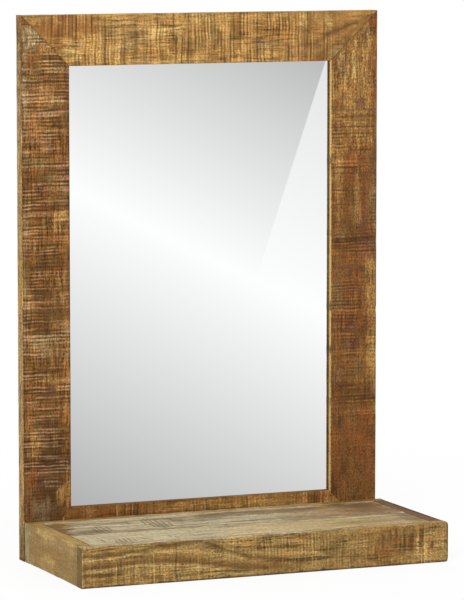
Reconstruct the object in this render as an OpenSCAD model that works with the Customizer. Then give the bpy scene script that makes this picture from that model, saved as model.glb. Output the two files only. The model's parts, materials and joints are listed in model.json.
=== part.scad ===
// Wall mirror with a shelf: a mitred frame of rough-sawn boards round a mirror
// glass, and a hollow box shelf screwed to the frame's bottom rail.
//
// X runs to the right as the mirror is looked at, +Y points into the wall and
// +Z up. The origin is the middle of the frame's bottom edge, in the plane of
// the wall. All sizes are in millimetres.

/* [Frame] */
// Width of the frame
frame_w = 500; // [400:1:700]
// Height of the frame
frame_h = 705; // [560:1:1000]
// Thickness of the frame boards
frame_t = 20; // [19:0.5:28]
// Width of the left stile
left_stile_w = 65.5; // [60:0.5:90]
// Width of the right stile
right_stile_w = 68.5; // [60:0.5:90]
// Width of the top rail
top_rail_w = 66; // [56:0.5:90]
// Width of the bottom rail
bottom_rail_w = 67.5; // [58:0.5:90]
// Radius of the eased long edges of every board
edge_r = 1.2; // [0.4:0.1:2]

/* [Rebate] */
// Thickness of the front lip that the glass lies against
lip_t = 6; // [5:0.5:7]
// Width of the lip
lip_w = 10; // [7:0.5:12]
// Width of the ledge that carries the turn buttons
ledge_w = 16; // [15:0.5:18]

/* [Glass and back panel] */
// Thickness of the mirror glass
glass_t = 3; // [2:0.5:4]
// Gap between the glass and the wood at its sides and top
glass_gap = 1.5; // [0.5:0.5:3]
// Thickness of the rubber blocks that the glass stands on
block_t = 2; // [1:0.5:4]
// Length of a rubber block
block_l = 30; // [15:1:60]
// Distance of the rubber blocks from the ends of the glass
block_inset = 60; // [20:1:90]
// Thickness of the back panel
panel_t = 4; // [3:0.5:5]
// Gap between the back panel and the wood at its sides and top
panel_gap = 0.8; // [0.3:0.1:2]

/* [Turn buttons] */
// Distance from a button's screw to its tip
button_reach = 20; // [17:0.5:26]
// Width of a button
button_w = 13; // [11:0.5:13.5]
// Thickness of a button
button_t = 2; // [1.5:0.1:2.5]
// Height of the finger ridge near a button's tip
ridge_h = 1; // [0.5:0.1:1.5]
// Width of the finger ridge
ridge_w = 2; // [1:0.1:3]
// Distance from the opening's corners to the buttons on the stiles
button_inset = 130; // [60:1:180]
// Diameter of the buttons' screws
button_screw_d = 3.5; // [3:0.1:4]
// Diameter of the heads of the buttons' screws
button_head_d = 7.5; // [6:0.1:9]
// Height of the heads of the buttons' screws
button_head_h = 2.2; // [1.6:0.1:2.4]
// Depth that the buttons' screws reach into the wood
button_screw_depth = 9; // [6:0.5:10]
// Clearance between a button's bore and its screw, at the radius
button_bore_gap = 0.05; // [0.02:0.01:0.1]
// Clearance over and under a button
button_play = 0.1; // [0.05:0.05:0.3]

/* [Hangers] */
// Distance between the two keyhole hangers
hanger_spacing = 460; // [452:1:462]
// Distance of the keyholes' entry holes below the frame's top edge
hanger_drop = 95; // [60:1:200]
// Length of a hanger plate
hanger_l = 46; // [44:1:60]
// Width of a hanger plate
hanger_w = 18; // [16:0.5:20]
// Thickness of a hanger plate
hanger_t = 1.6; // [1:0.1:2.5]
// Radius of the entry hole of a keyhole
keyhole_r = 5; // [4:0.1:5.5]
// Width of the slot of a keyhole
keyslot_w = 5; // [3.5:0.1:5.5]
// Length of the slot, from the entry hole's centre to the slot's end centre
keyslot_l = 11; // [8:0.5:12]
// Depth of the pocket behind a keyhole
keyhole_pocket = 10; // [6:0.5:13]
// Room between the keyhole and its pocket's wall
keyhole_room = 1; // [0.5:0.1:2]
// Distance from a hanger plate's ends to its screws
hanger_screw_inset = 6; // [5:0.5:7]
// Diameter of the hanger screws
hanger_screw_d = 3; // [2.5:0.1:3.5]
// Diameter of the heads of the hanger screws
hanger_head_d = 5.6; // [5:0.1:6.4]
// Length of the hanger screws
hanger_screw_l = 13; // [8:0.5:16]

/* [Shelf] */
// Width of the shelf
shelf_w = 505; // [400:1:700]
// Distance of the shelf's middle to the right of the frame's middle
shelf_shift = 3.5; // [-10:0.5:10]
// Depth of the shelf in front of the frame
shelf_d = 210; // [160:1:300]
// Height of the shelf
shelf_h = 52; // [48:0.5:80]
// Thickness of the shelf's front board
front_board_t = 18; // [15:0.5:25]
// Thickness of the shelf's back board
back_board_t = 16; // [15:0.5:25]
// Thickness of the shelf's end boards
end_board_t = 18; // [15:0.5:25]
// Thickness of the two top planks
plank_t = 16; // [10:0.5:20]
// Width of the rear top plank
rear_plank_w = 104; // [50:0.5:110]
// Thickness of the bottom board
bottom_board_t = 9; // [6:0.5:12]
// Height of the bottom board above the boards' lower edges
bottom_recess = 2; // [1:0.5:5]

/* [Shelf inner parts] */
// Width of the corner blocks, along both sides
corner_block_w = 25; // [20:0.5:34]
// Thickness of the middle rib
rib_t = 18; // [12:0.5:25]

/* [Dowels] */
// Diameter of the dowels
dowel_d = 8; // [6:0.5:8]
// Length of the dowels across a mitre
mitre_dowel_l = 28; // [20:1:30]
// Distance of the outer mitre dowels from the frame's corner
mitre_dowel_outer = 27; // [26:0.5:30]
// Distance of the inner mitre dowels from the frame's corner
mitre_dowel_inner = 45; // [40:0.5:46]
// Length of the shelf's dowels
shelf_dowel_l = 36; // [30:1:50]
// Depth of the shelf's dowels in the front and back boards
shelf_dowel_depth = 10; // [8:0.5:12]
// Distance of the shelf's dowels from the boards' upper and lower edges
shelf_dowel_inset = 13; // [10:0.5:18]

/* [Shelf screws] */
// Diameter of the screws that hold the shelf to the frame
shelf_screw_d = 5; // [4:0.1:6]
// Diameter of the heads of these screws
shelf_head_d = 9.5; // [8:0.1:11]
// Depth that these screws reach into the shelf's back board
shelf_screw_grip = 13; // [8:0.5:14]
// Height of these screws above the frame's bottom edge
shelf_screw_z = 24; // [15:0.5:30]
// Distance of the outer screws from the ends of the stretch where frame and shelf meet
shelf_screw_inset = 60; // [58:1:90]
// Number of screws that hold the shelf
shelf_screw_count = 4; // [2:1:6]
// Diameter of the screws of the bottom board
bottom_screw_d = 3.5; // [3:0.1:4]
// Diameter of the heads of these screws
bottom_head_d = 7; // [6:0.1:8]
// Length of these screws
bottom_screw_l = 25; // [16:0.5:30]

/* [Fits] */
// Clearance round dowels and screws in the wood, at the radius
wood_fit = 0.05; // [0.02:0.01:0.2]
// Room at the end of a blind hole
blind_room = 0.5; // [0.2:0.1:0.9]

/* [Hidden] */
$fn = 48;
// Length by which a cut runs past the surface it opens
cut = 1;
// Edges of the frame and of its opening
frame_l = -frame_w / 2;
frame_r = frame_w / 2;
open_l = frame_l + left_stile_w;
open_r = frame_r - right_stile_w;
open_b = bottom_rail_w;
open_t = frame_h - top_rail_w;
open_mid = (open_l + open_r) / 2;
// Depths below the back of the frame
glass_y = -(frame_t - lip_t);
panel_y = glass_y + glass_t;
ledge_y = panel_y + panel_t;
// Outer corner and inner corner of each mitre
MITRES = [
    [[frame_l, 0], [open_l, open_b]],
    [[frame_r, 0], [open_r, open_b]],
    [[frame_r, frame_h], [open_r, open_t]],
    [[frame_l, frame_h], [open_l, open_t]],
];
mitre_dowel_places = [mitre_dowel_outer, mitre_dowel_inner];
dowel_y = -frame_t / 2;
// Place of each turn button's screw, and the turn that points it inward
button_out = lip_w + ledge_w / 2;
LEFT_UPPER = [open_l - button_out, open_t - button_inset, 0];
LEFT_LOWER = [open_l - button_out, open_b + button_inset, 0];
RIGHT_UPPER = [open_r + button_out, open_t - button_inset, 180];
RIGHT_LOWER = [open_r + button_out, open_b + button_inset, 180];
TOP_MIDDLE = [open_mid, open_t + button_out, 90];
BOTTOM_MIDDLE = [open_mid, open_b - button_out, -90];
BUTTONS = [LEFT_UPPER, LEFT_LOWER, RIGHT_UPPER, RIGHT_LOWER, TOP_MIDDLE, BOTTOM_MIDDLE];
button_y = ledge_y + button_play;
button_head_y = button_y + button_t + button_play;
// Places on the hanger plates
keyhole_z = frame_h - hanger_drop;
hanger_mid_z = keyhole_z + keyslot_l / 2;
hanger_screw_zs = [for (s = [-1, 1]) hanger_mid_z + s * (hanger_l / 2 - hanger_screw_inset)];
// Edges of the shelf and of the room between its four outer boards
shelf_l = shelf_shift - shelf_w / 2;
shelf_r = shelf_shift + shelf_w / 2;
shelf_back = -frame_t;
shelf_front = shelf_back - shelf_d;
in_l = shelf_l + end_board_t;
in_r = shelf_r - end_board_t;
in_back = shelf_back - back_board_t;
in_front = shelf_front + front_board_t;
seam_y = in_back - rear_plank_w;
plank_z = shelf_h - plank_t;
bottom_z = bottom_recess + bottom_board_t;
shelf_dowel_xs = [shelf_l + end_board_t / 2, shelf_r - end_board_t / 2];
shelf_dowel_zs = [shelf_dowel_inset, shelf_h - shelf_dowel_inset];
// Stretch where the frame and the shelf meet, and the screws spread over it
meet_l = max(frame_l, shelf_l);
meet_r = min(frame_r, shelf_r);
screw_run = meet_r - meet_l - 2 * shelf_screw_inset;
shelf_screw_xs = [
    for (i = [0:shelf_screw_count - 1])
        meet_l + shelf_screw_inset + i * screw_run / (shelf_screw_count - 1)
];
// Places of the bottom board's screws: one in each corner block, two in the rib
block_mid = corner_block_w / 2;
BOTTOM_SCREWS = [
    for (x = [in_l + block_mid, shelf_shift, in_r - block_mid])
        for (y = [in_front + block_mid, in_back - block_mid])
            [x, y]
];

wood_brown = "peru";
wood_gold = "tan";
wood_pale = "burlywood";
wood_inner = "wheat";
steel = "lightsteelblue";

// ---- Shapes that repeat ----

// Rectangle from the origin with its four corners rounded
module eased_rectangle(w, h) {
    translate([edge_r, 0]) square([w - 2 * edge_r, h]);
    translate([0, edge_r]) square([w, h - 2 * edge_r]);
    for (x = [edge_r, w - edge_r])
        for (y = [edge_r, h - edge_r])
            translate([x, y]) circle(edge_r);
}

// Boards between two corners, with their long edges eased
module board_along_x(low, high) {
    size = high - low;
    translate(low)
        rotate([90, 0, 90])
            linear_extrude(size.x)
                eased_rectangle(size.y, size.z);
}

module board_along_y(low, high) {
    size = high - low;
    translate([low.x, high.y, low.z])
        rotate([90, 0, 0])
            linear_extrude(size.y)
                eased_rectangle(size.x, size.z);
}

module board_along_z(low, high) {
    size = high - low;
    translate(low)
        linear_extrude(size.z)
            eased_rectangle(size.x, size.y);
}

// Plain box between two corners
module box(low, high) {
    translate(low) cube(high - low);
}

// Shape drawn in the plane of the frame, as thick as the frame and a bit more
module through_frame() {
    translate([0, cut, 0])
        rotate([90, 0, 0])
            linear_extrude(frame_t + 2 * cut)
                children();
}

// Screw whose head faces +Z with its rim at the origin; grow widens its hole
module countersunk_screw(d, head_d, length, grow = 0) {
    head_h = (head_d - d) / 2;
    translate([0, 0, -length - grow]) cylinder(h = length, d = d + 2 * grow);
    translate([0, 0, -head_h]) cylinder(h = head_h, d1 = d + 2 * grow, d2 = head_d + 2 * grow);
}

// Cross recess cut into a screw's head at the origin
module cross_recess(head_d) {
    for (turn = [0, 90])
        rotate([0, 0, turn])
            cube([head_d * 0.6, head_d * 0.14, head_d * 0.3], center = true);
}

module cross_screw(d, head_d, length) {
    difference() {
        countersunk_screw(d, head_d, length);
        cross_recess(head_d);
    }
}

// Hole for a countersunk screw: open above the head, with room below its tip
module screw_hole(d, head_d, length) {
    countersunk_screw(d, head_d, length + blind_room, wood_fit);
    cylinder(h = cut, d = head_d + 2 * wood_fit);
}

// Turns a screw that faces +Z towards the wall
module facing_wall(x, y, z) {
    translate([x, y, z]) rotate([-90, 0, 0]) children();
}

// ---- Frame ----

// Pocket behind the opening: the glass rebate, and the wider ledge behind it
module opening_pocket() {
    ledge = lip_w + ledge_w;
    box([open_l - lip_w, glass_y, open_b - lip_w], [open_r + lip_w, cut, open_t + lip_w]);
    box([open_l - ledge, ledge_y, open_b - ledge], [open_r + ledge, cut, open_t + ledge]);
}

// Dowels across the four mitres, or their holes when they are grown
module mitre_dowel_set(grow = 0, room = 0) {
    for (m = MITRES) {
        run = m[1] - m[0];
        along = run / norm(run);
        for (d = mitre_dowel_places)
            translate([m[0].x + d * along.x, dowel_y, m[0].y + d * along.y])
                rotate([0, atan2(-along.y, along.x), 0])
                    cylinder(h = mitre_dowel_l + 2 * room, d = dowel_d + 2 * grow, center = true);
    }
}

module button_screw_holes() {
    for (b = BUTTONS)
        facing_wall(b.x, ledge_y, b.y)
            translate([0, 0, -button_screw_depth - blind_room])
                cylinder(h = button_screw_depth + blind_room + cut, d = button_screw_d + 2 * wood_fit);
}

// What both stiles and both rails have cut out of them
module frame_cuts() {
    opening_pocket();
    mitre_dowel_set(wood_fit, blind_room);
    button_screw_holes();
}

// Outline with round ends, upright, for the hanger plates
module upright_stadium(w, l) {
    translate([-w / 2, -(l - w) / 2]) square([w, l - w]);
    for (s = [-1, 1])
        translate([0, s * (l - w) / 2]) circle(w / 2);
}

// Keyhole's outline, its entry hole at the origin, widened all round by room
module keyhole_outline(room = 0) {
    circle(keyhole_r + room);
    translate([-keyslot_w / 2 - room, 0]) square([keyslot_w + 2 * room, keyslot_l]);
    translate([0, keyslot_l]) circle(keyslot_w / 2 + room);
}

// Space behind the keyhole where the head of the wall's screw slides up
module keyhole_pocket_outline() {
    r = keyhole_r + keyhole_room;
    circle(r);
    translate([-r, 0]) square([2 * r, keyslot_l]);
    translate([0, keyslot_l]) circle(r);
}

// Seat of a hanger plate, its keyhole's pocket and its screws' holes
module hanger_seat(x) {
    translate([x, cut, hanger_mid_z])
        rotate([90, 0, 0])
            linear_extrude(hanger_t + cut)
                upright_stadium(hanger_w + 2 * wood_fit, hanger_l + 2 * wood_fit);
    translate([x, cut, keyhole_z])
        rotate([90, 0, 0])
            linear_extrude(keyhole_pocket + cut)
                keyhole_pocket_outline();
    for (z = hanger_screw_zs)
        facing_wall(x, 0, z)
            screw_hole(hanger_screw_d, hanger_head_d, hanger_screw_l);
}

module left_stile() {
    color(wood_brown)
        difference() {
            intersection() {
                board_along_z([frame_l, -frame_t, 0], [open_l, 0, frame_h]);
                through_frame()
                    polygon([MITRES[0][0], MITRES[0][1], MITRES[3][1], MITRES[3][0]]);
            }
            frame_cuts();
            hanger_seat(-hanger_spacing / 2);
        }
}

module right_stile() {
    color(wood_brown)
        difference() {
            intersection() {
                board_along_z([open_r, -frame_t, 0], [frame_r, 0, frame_h]);
                through_frame()
                    polygon([MITRES[1][0], MITRES[2][0], MITRES[2][1], MITRES[1][1]]);
            }
            frame_cuts();
            hanger_seat(hanger_spacing / 2);
        }
}

module top_rail() {
    color(wood_gold)
        difference() {
            intersection() {
                board_along_x([frame_l, -frame_t, open_t], [frame_r, 0, frame_h]);
                through_frame()
                    polygon([MITRES[3][0], MITRES[3][1], MITRES[2][1], MITRES[2][0]]);
            }
            frame_cuts();
        }
}

module bottom_rail() {
    color(wood_gold)
        difference() {
            intersection() {
                board_along_x([frame_l, -frame_t, 0], [frame_r, 0, open_b]);
                through_frame()
                    polygon([MITRES[0][0], MITRES[1][0], MITRES[1][1], MITRES[0][1]]);
            }
            frame_cuts();
            shelf_screw_holes();
        }
}

module mitre_dowels() {
    color(wood_inner) mitre_dowel_set();
}

// ---- Glass and back panel ----

module mirror_glass() {
    gap = lip_w - glass_gap;
    color("aliceblue")
        box([open_l - gap, glass_y, open_b - lip_w + block_t], [open_r + gap, panel_y, open_t + gap]);
}

module glass_blocks() {
    glass_l = open_l - lip_w + glass_gap;
    glass_r = open_r + lip_w - glass_gap;
    color("dimgray")
        for (x = [glass_l + block_inset, glass_r - block_inset - block_l])
            box([x, glass_y, open_b - lip_w], [x + block_l, panel_y, open_b - lip_w + block_t]);
}

module back_panel() {
    gap = lip_w - panel_gap;
    color("saddlebrown")
        box([open_l - gap, panel_y, open_b - lip_w], [open_r + gap, ledge_y, open_t + gap]);
}

// ---- Turn buttons ----

// Button at a place, lying on the ledge and pointing to the opening's middle
module turn_button(place) {
    tip = button_reach - button_w / 2;
    ridge_l = button_w * 0.6;
    color(steel)
        translate([place.x, button_y, place.y])
            rotate([-90, place[2], 0])
                difference() {
                    union() {
                        cylinder(h = button_t, d = button_w);
                        translate([tip, 0, 0]) cylinder(h = button_t, d = button_w);
                        translate([0, -button_w / 2, 0]) cube([tip, button_w, button_t]);
                        translate([tip - ridge_w / 2, -ridge_l / 2, 0])
                            cube([ridge_w, ridge_l, button_t + ridge_h]);
                    }
                    translate([0, 0, -cut])
                        cylinder(h = button_t + 2 * cut, d = button_screw_d + 2 * button_bore_gap);
                }
}

module left_upper_button() {
    turn_button(LEFT_UPPER);
}

module left_lower_button() {
    turn_button(LEFT_LOWER);
}

module right_upper_button() {
    turn_button(RIGHT_UPPER);
}

module right_lower_button() {
    turn_button(RIGHT_LOWER);
}

module top_button() {
    turn_button(TOP_MIDDLE);
}

module bottom_button() {
    turn_button(BOTTOM_MIDDLE);
}

// Pan-head screws that the buttons turn on
module button_screws() {
    shank = button_head_y - ledge_y + button_screw_depth;
    color(steel)
        for (b = BUTTONS)
            facing_wall(b.x, button_head_y, b.y)
                difference() {
                    union() {
                        translate([0, 0, -shank]) cylinder(h = shank, d = button_screw_d);
                        cylinder(h = button_head_h, d1 = button_head_d, d2 = button_head_d * 0.72);
                    }
                    translate([0, 0, button_head_h]) cross_recess(button_head_d);
                }
}

// ---- Hangers ----

module hanger_plate(x) {
    color(steel)
        difference() {
            translate([x, 0, hanger_mid_z])
                rotate([90, 0, 0])
                    linear_extrude(hanger_t)
                        upright_stadium(hanger_w, hanger_l);
            translate([x, cut, keyhole_z])
                rotate([90, 0, 0])
                    linear_extrude(hanger_t + 2 * cut)
                        keyhole_outline();
            for (z = hanger_screw_zs)
                facing_wall(x, 0, z)
                    screw_hole(hanger_screw_d, hanger_head_d, hanger_screw_l);
        }
}

module left_hanger() {
    hanger_plate(-hanger_spacing / 2);
}

module right_hanger() {
    hanger_plate(hanger_spacing / 2);
}

module hanger_screws() {
    color(steel)
        for (x = [-hanger_spacing / 2, hanger_spacing / 2])
            for (z = hanger_screw_zs)
                facing_wall(x, 0, z)
                    cross_screw(hanger_screw_d, hanger_head_d, hanger_screw_l);
}

// ---- Shelf ----

// Dowels from the front and back boards into the end boards, or their holes
module shelf_dowel_set(grow = 0, room = 0) {
    for (x = shelf_dowel_xs)
        for (z = shelf_dowel_zs) {
            translate([x, in_front - shelf_dowel_depth - room, z])
                rotate([-90, 0, 0])
                    cylinder(h = shelf_dowel_l + 2 * room, d = dowel_d + 2 * grow);
            translate([x, in_back + shelf_dowel_depth + room, z])
                rotate([90, 0, 0])
                    cylinder(h = shelf_dowel_l + 2 * room, d = dowel_d + 2 * grow);
        }
}

// Screws through the bottom rail into the shelf's back board
module at_shelf_screws() {
    for (x = shelf_screw_xs)
        facing_wall(x, 0, shelf_screw_z)
            children();
}

module shelf_screw_holes() {
    at_shelf_screws()
        screw_hole(shelf_screw_d, shelf_head_d, frame_t + shelf_screw_grip);
}

// Screws through the bottom board, their heads facing down
module at_bottom_screws() {
    for (p = BOTTOM_SCREWS)
        translate([p.x, p.y, bottom_recess])
            rotate([180, 0, 0])
                children();
}

module bottom_screw_holes() {
    at_bottom_screws()
        screw_hole(bottom_screw_d, bottom_head_d, bottom_screw_l);
}

module shelf_front_board() {
    color(wood_gold)
        difference() {
            board_along_x([shelf_l, shelf_front, 0], [shelf_r, in_front, shelf_h]);
            shelf_dowel_set(wood_fit, blind_room);
        }
}

module shelf_back_board() {
    color(wood_gold)
        difference() {
            board_along_x([shelf_l, in_back, 0], [shelf_r, shelf_back, shelf_h]);
            shelf_dowel_set(wood_fit, blind_room);
            shelf_screw_holes();
        }
}

module shelf_left_end() {
    color(wood_gold)
        difference() {
            board_along_y([shelf_l, in_front, 0], [in_l, in_back, shelf_h]);
            shelf_dowel_set(wood_fit, blind_room);
        }
}

module shelf_right_end() {
    color(wood_brown)
        difference() {
            board_along_y([in_r, in_front, 0], [shelf_r, in_back, shelf_h]);
            shelf_dowel_set(wood_fit, blind_room);
        }
}

module shelf_rear_plank() {
    color(wood_pale)
        board_along_x([in_l, seam_y, plank_z], [in_r, in_back, shelf_h]);
}

module shelf_front_plank() {
    color(wood_pale)
        board_along_x([in_l, in_front, plank_z], [in_r, seam_y, shelf_h]);
}

module shelf_bottom_board() {
    color(wood_inner)
        difference() {
            box([in_l, in_front, bottom_recess], [in_r, in_back, bottom_z]);
            bottom_screw_holes();
        }
}

module shelf_corner_blocks() {
    color(wood_inner)
        difference() {
            for (x = [in_l, in_r - corner_block_w])
                for (y = [in_front, in_back - corner_block_w])
                    box([x, y, bottom_z], [x + corner_block_w, y + corner_block_w, plank_z]);
            bottom_screw_holes();
        }
}

module shelf_rib() {
    color(wood_inner)
        difference() {
            box([shelf_shift - rib_t / 2, in_front, bottom_z], [shelf_shift + rib_t / 2, in_back, plank_z]);
            bottom_screw_holes();
        }
}

module shelf_dowels() {
    color(wood_inner) shelf_dowel_set();
}

module shelf_screws() {
    color(steel)
        at_shelf_screws()
            cross_screw(shelf_screw_d, shelf_head_d, frame_t + shelf_screw_grip);
}

module bottom_board_screws() {
    color(steel)
        at_bottom_screws()
            cross_screw(bottom_screw_d, bottom_head_d, bottom_screw_l);
}

left_stile();
right_stile();
top_rail();
bottom_rail();
mitre_dowels();
mirror_glass();
glass_blocks();
back_panel();
left_hanger();
right_hanger();
hanger_screws();
left_upper_button();
left_lower_button();
right_upper_button();
right_lower_button();
top_button();
bottom_button();
button_screws();
shelf_front_board();
shelf_back_board();
shelf_left_end();
shelf_right_end();
shelf_rear_plank();
shelf_front_plank();
shelf_bottom_board();
shelf_corner_blocks();
shelf_rib();
shelf_dowels();
shelf_screws();
bottom_board_screws();
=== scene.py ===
"""Wall mirror in a mitred frame of rough-sawn mango boards, with a box shelf across its foot.

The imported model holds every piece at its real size. This add-on dresses it: the boards and the glass are
rebuilt with their worn, sawn surfaces, and every other piece gets its finish.
"""

import json
import math
import random
from types import SimpleNamespace

import bmesh
import bpy
import numpy as np
from bpy.props import FloatProperty, FloatVectorProperty, IntProperty, PointerProperty
from mathutils import Matrix, Vector


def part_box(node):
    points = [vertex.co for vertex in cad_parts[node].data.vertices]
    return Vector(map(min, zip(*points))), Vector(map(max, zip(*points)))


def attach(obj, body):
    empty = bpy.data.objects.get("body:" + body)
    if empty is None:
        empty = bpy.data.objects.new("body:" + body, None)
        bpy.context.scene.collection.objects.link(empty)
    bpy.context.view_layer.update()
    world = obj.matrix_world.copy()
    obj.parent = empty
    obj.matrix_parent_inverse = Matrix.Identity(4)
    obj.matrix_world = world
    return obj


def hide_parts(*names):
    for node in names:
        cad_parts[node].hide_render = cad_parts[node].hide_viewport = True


bl_info = {
    "name": "Mirror with Shelf",
    "version": (1, 0, 0),
    "blender": (4, 5, 0),
    "location": "View3D > Sidebar > Mirror",
    "description": "Builds the boards, glass and finishes of a rough-sawn wall mirror with a shelf",
    "category": "Object",
}

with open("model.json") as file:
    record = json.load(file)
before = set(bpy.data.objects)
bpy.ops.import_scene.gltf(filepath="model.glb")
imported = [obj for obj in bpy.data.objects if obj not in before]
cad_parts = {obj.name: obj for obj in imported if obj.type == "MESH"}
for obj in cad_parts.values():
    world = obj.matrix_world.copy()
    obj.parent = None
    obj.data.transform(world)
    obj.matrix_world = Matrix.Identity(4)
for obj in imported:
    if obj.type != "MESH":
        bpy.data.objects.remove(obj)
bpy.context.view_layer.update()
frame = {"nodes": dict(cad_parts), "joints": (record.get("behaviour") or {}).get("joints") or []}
BODY = "frame"

# Lengths are metres.
MM = 0.001
NEAR = 1e-6  # two points closer than this are one
FIT = 0.00005  # air round a piece in its seat
CUT_ROOM = 0.001  # how far a cutter stands out of the wood
ROUND = 48  # sides of a round cutter
SHARP = math.radians(40)  # edges sharper than this stay crisp
LEAST_WIDTH, LEAST_DEPTH = 0.008, 0.004  # shorter edges of a frame board's section are its eased ones
GLASS_ARRIS = 0.0004
POCKET_WIDTH, POCKET_HEIGHT, POCKET_DEPTH = 0.012, 0.023, 0.010  # room for a wall screw's head
SHANK_WIDTH, HEAD_DEPTH, SHELF_SCREWS = 0.005, 0.00225, 4
LINE_WIDTH, LINE_SHARE = 0.0018, 0.85  # how wide and how strong a board's own saw lines are
SEED_STEP, SHELF_SEED = 20, 100  # how far the boards' seeds lie apart, and where the shelf's start
WAX_GLOSS = 0.1

# From board to board, the place in the wood's pattern that a board is cut from moves on by this much.
FRAME_WOOD_STEPS = (0.37, 0.11, 0.05)
SHELF_WOOD_STEPS = (0.41, 0.13, 0.07)

# The stage. The card's pattern is measured on the glass: a bright band that falls to the right, and a wedge
# of brighter grey whose edge leans to the right.
LAMP_TARGET = (0, -0.1, 0.35)
FLOOR_SIZE, CARD_SIZE = 40, 3.2
BAND_HEIGHT, BAND_FALL, BAND_BELOW, BAND_ABOVE = 0.390, 0.494, 0.42, 0.36
WEDGE_START, WEDGE_SLANT, WEDGE_SOFT = -0.045, 0.348, 0.0008


def shade(red, green, blue):
    """Scene-linear colour of an 8-bit display colour."""
    return tuple(
        c / 12.92 if c <= 0.04045 else ((c + 0.055) / 1.055) ** 2.4
        for c in (red / 255, green / 255, blue / 255)
    )


# ---- Places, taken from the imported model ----


def measure():
    """The edges of the frame, its opening and its rebates, in metres.

    The lip holds the glass at the front, and the ledge beside the opening is where the turn buttons lie.
    """
    left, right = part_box("left_stile"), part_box("right_stile")
    top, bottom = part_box("top_rail"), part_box("bottom_rail")
    glass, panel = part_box("mirror_glass"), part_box("back_panel")
    button_x = next(j["pos_m"][0] for j in frame["joints"] if j["child"] == "left_upper_button")
    lip_w = bottom[1].z - panel[0].z
    return SimpleNamespace(
        left=left[0].x, right=right[1].x, height=left[1].z,
        opening_left=left[1].x, opening_right=right[0].x, opening_top=top[0].z, opening_bottom=bottom[1].z,
        lip_w=lip_w, lip_t=glass[0].y - left[0].y,
        ledge_w=2 * (left[1].x - lip_w - button_x), ledge_depth=panel[1].y - left[0].y,
    )


PLACES = measure()


# ---- Sizes and colours that a user would change ----


def number_prop(name, description, default, **how):
    """A number, whose unit or kind is named by how."""
    return FloatProperty(name=name, description=description, default=default, **how)


def length_prop(name, description, default):
    """A length in metres."""
    return number_prop(name, description, default, unit="LENGTH", precision=5)


def colour_prop(name, description, default):
    """A colour, given as it is seen on a display."""
    return FloatVectorProperty(
        name=name, description=description, default=shade(*default), subtype="COLOR", min=0, max=1
    )


class MirrorBoardSettings(bpy.types.PropertyGroup):
    """How finely the boards are built and how rough they are"""

    grid: length_prop("Grid", "Distance between two rings of a board's mesh, along the grain", 0.0011)
    cross_grid: length_prop("Cross grid", "Distance between two lines of the mesh, across the grain", 0.0023)
    arris: length_prop("Arris", "Radius of the eased long edges", 0.0012)
    end_arris: length_prop("End arris", "Radius of the eased ends of the shelf's boards", 0.0003)
    rebate_arris: length_prop("Rebate arris", "Radius of the edges in the rebates", 0.0002)
    mitre_gap: length_prop("Mitre gap", "Half of the open joint at each mitre", 0.0002)
    saw_pitch: length_prop("Saw pitch", "Mean distance between two saw marks", 0.0045)
    saw_depth: length_prop("Saw depth", "Depth of the deepest saw marks", 0.0002)
    wave_depth: length_prop("Wave depth", "Unevenness of the boards' faces", 0.00018)
    wear_depth: length_prop("Wear depth", "Wood worn off the boards' edges", 0.0005)


class MirrorColourSettings(bpy.types.PropertyGroup):
    """The wood's colours"""

    honey: colour_prop("Honey", "Golden wood", (174, 134, 75))
    tan: colour_prop("Tan", "Pale brown of the boards", (150, 108, 56))
    chestnut: colour_prop("Chestnut", "Middle brown of the boards", (125, 85, 41))
    brown: colour_prop("Brown", "Darker brown of the boards", (108, 71, 36))
    umber: colour_prop("Umber", "Darkest wood, beside knots and cracks", (72, 48, 25))
    rust: colour_prop("Rust", "Reddish brown", (122, 73, 35))
    amber: colour_prop("Amber", "Orange streaks", (158, 109, 53))
    olive: colour_prop("Olive", "Greenish gold of the shelf's boards", (151, 123, 72))
    straw: colour_prop("Straw", "Pale yellow wood", (200, 168, 106))
    blush: colour_prop("Blush", "Pinkish wood of worn edges", (208, 176, 146))
    moss: colour_prop("Moss", "Grey-green streaks", (124, 110, 68))
    plum: colour_prop("Plum", "Purplish brown", (98, 60, 46))
    cream: colour_prop("Cream", "Sapwood of the shelf's top", (196, 182, 146))
    slate: colour_prop("Slate", "Grey-brown streaks", (122, 106, 78))
    sage: colour_prop("Sage", "Pale grey-green wood", (164, 146, 104))
    hazel: colour_prop("Hazel", "Brown of the front board's sawn end", (124, 96, 54))
    bark: colour_prop("Bark", "Dark grey-brown patches of the shelf's top", (108, 84, 58))
    # Ink also draws painted shade: the lines where the stiles meet the glass, and the bottom and right
    # arrises of the shelf's front board.
    ink: colour_prop("Ink", "Cracks and open joints", (44, 32, 22))


class MirrorStudioSettings(bpy.types.PropertyGroup):
    """Camera, lamps and the card that the mirror reflects"""

    eye: FloatVectorProperty(
        name="Eye", description="Place of the camera", default=(-1.915, -4.685, 0.885), unit="LENGTH"
    )
    pitch: number_prop("Pitch", "Angle that the camera looks down", math.radians(6.28), subtype="ANGLE")
    yaw: number_prop("Yaw", "Angle that the camera looks right", math.radians(22.75), subtype="ANGLE")
    lens: number_prop("Lens", "Focal length", 232.8, unit="CAMERA")
    sky: number_prop("Sky", "Strength of the light from all round", 0.62)
    key: number_prop("Key", "Power of the lamp at the upper left", 75, unit="POWER")
    fill: number_prop("Fill", "Power of the lamp at the right", 22, unit="POWER")
    back: number_prop("Back", "Power of the lamp behind", 30, unit="POWER")
    card_distance: length_prop("Card distance", "Distance of the card that the mirror reflects", 0.6)


class MirrorSettings(bpy.types.PropertyGroup):
    """All settings of the mirror"""

    boards: PointerProperty(type=MirrorBoardSettings)
    colours: PointerProperty(type=MirrorColourSettings)
    studio: PointerProperty(type=MirrorStudioSettings)
    seed: IntProperty(name="Seed", description="Changes the saw marks and the wear", default=7)


def tones():
    """The wood's colours by name."""
    colours = bpy.context.scene.mirror_shelf.colours
    return {key: tuple(getattr(colours, key)) for key in MirrorColourSettings.__annotations__}


# ---- Node trees ----


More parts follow.
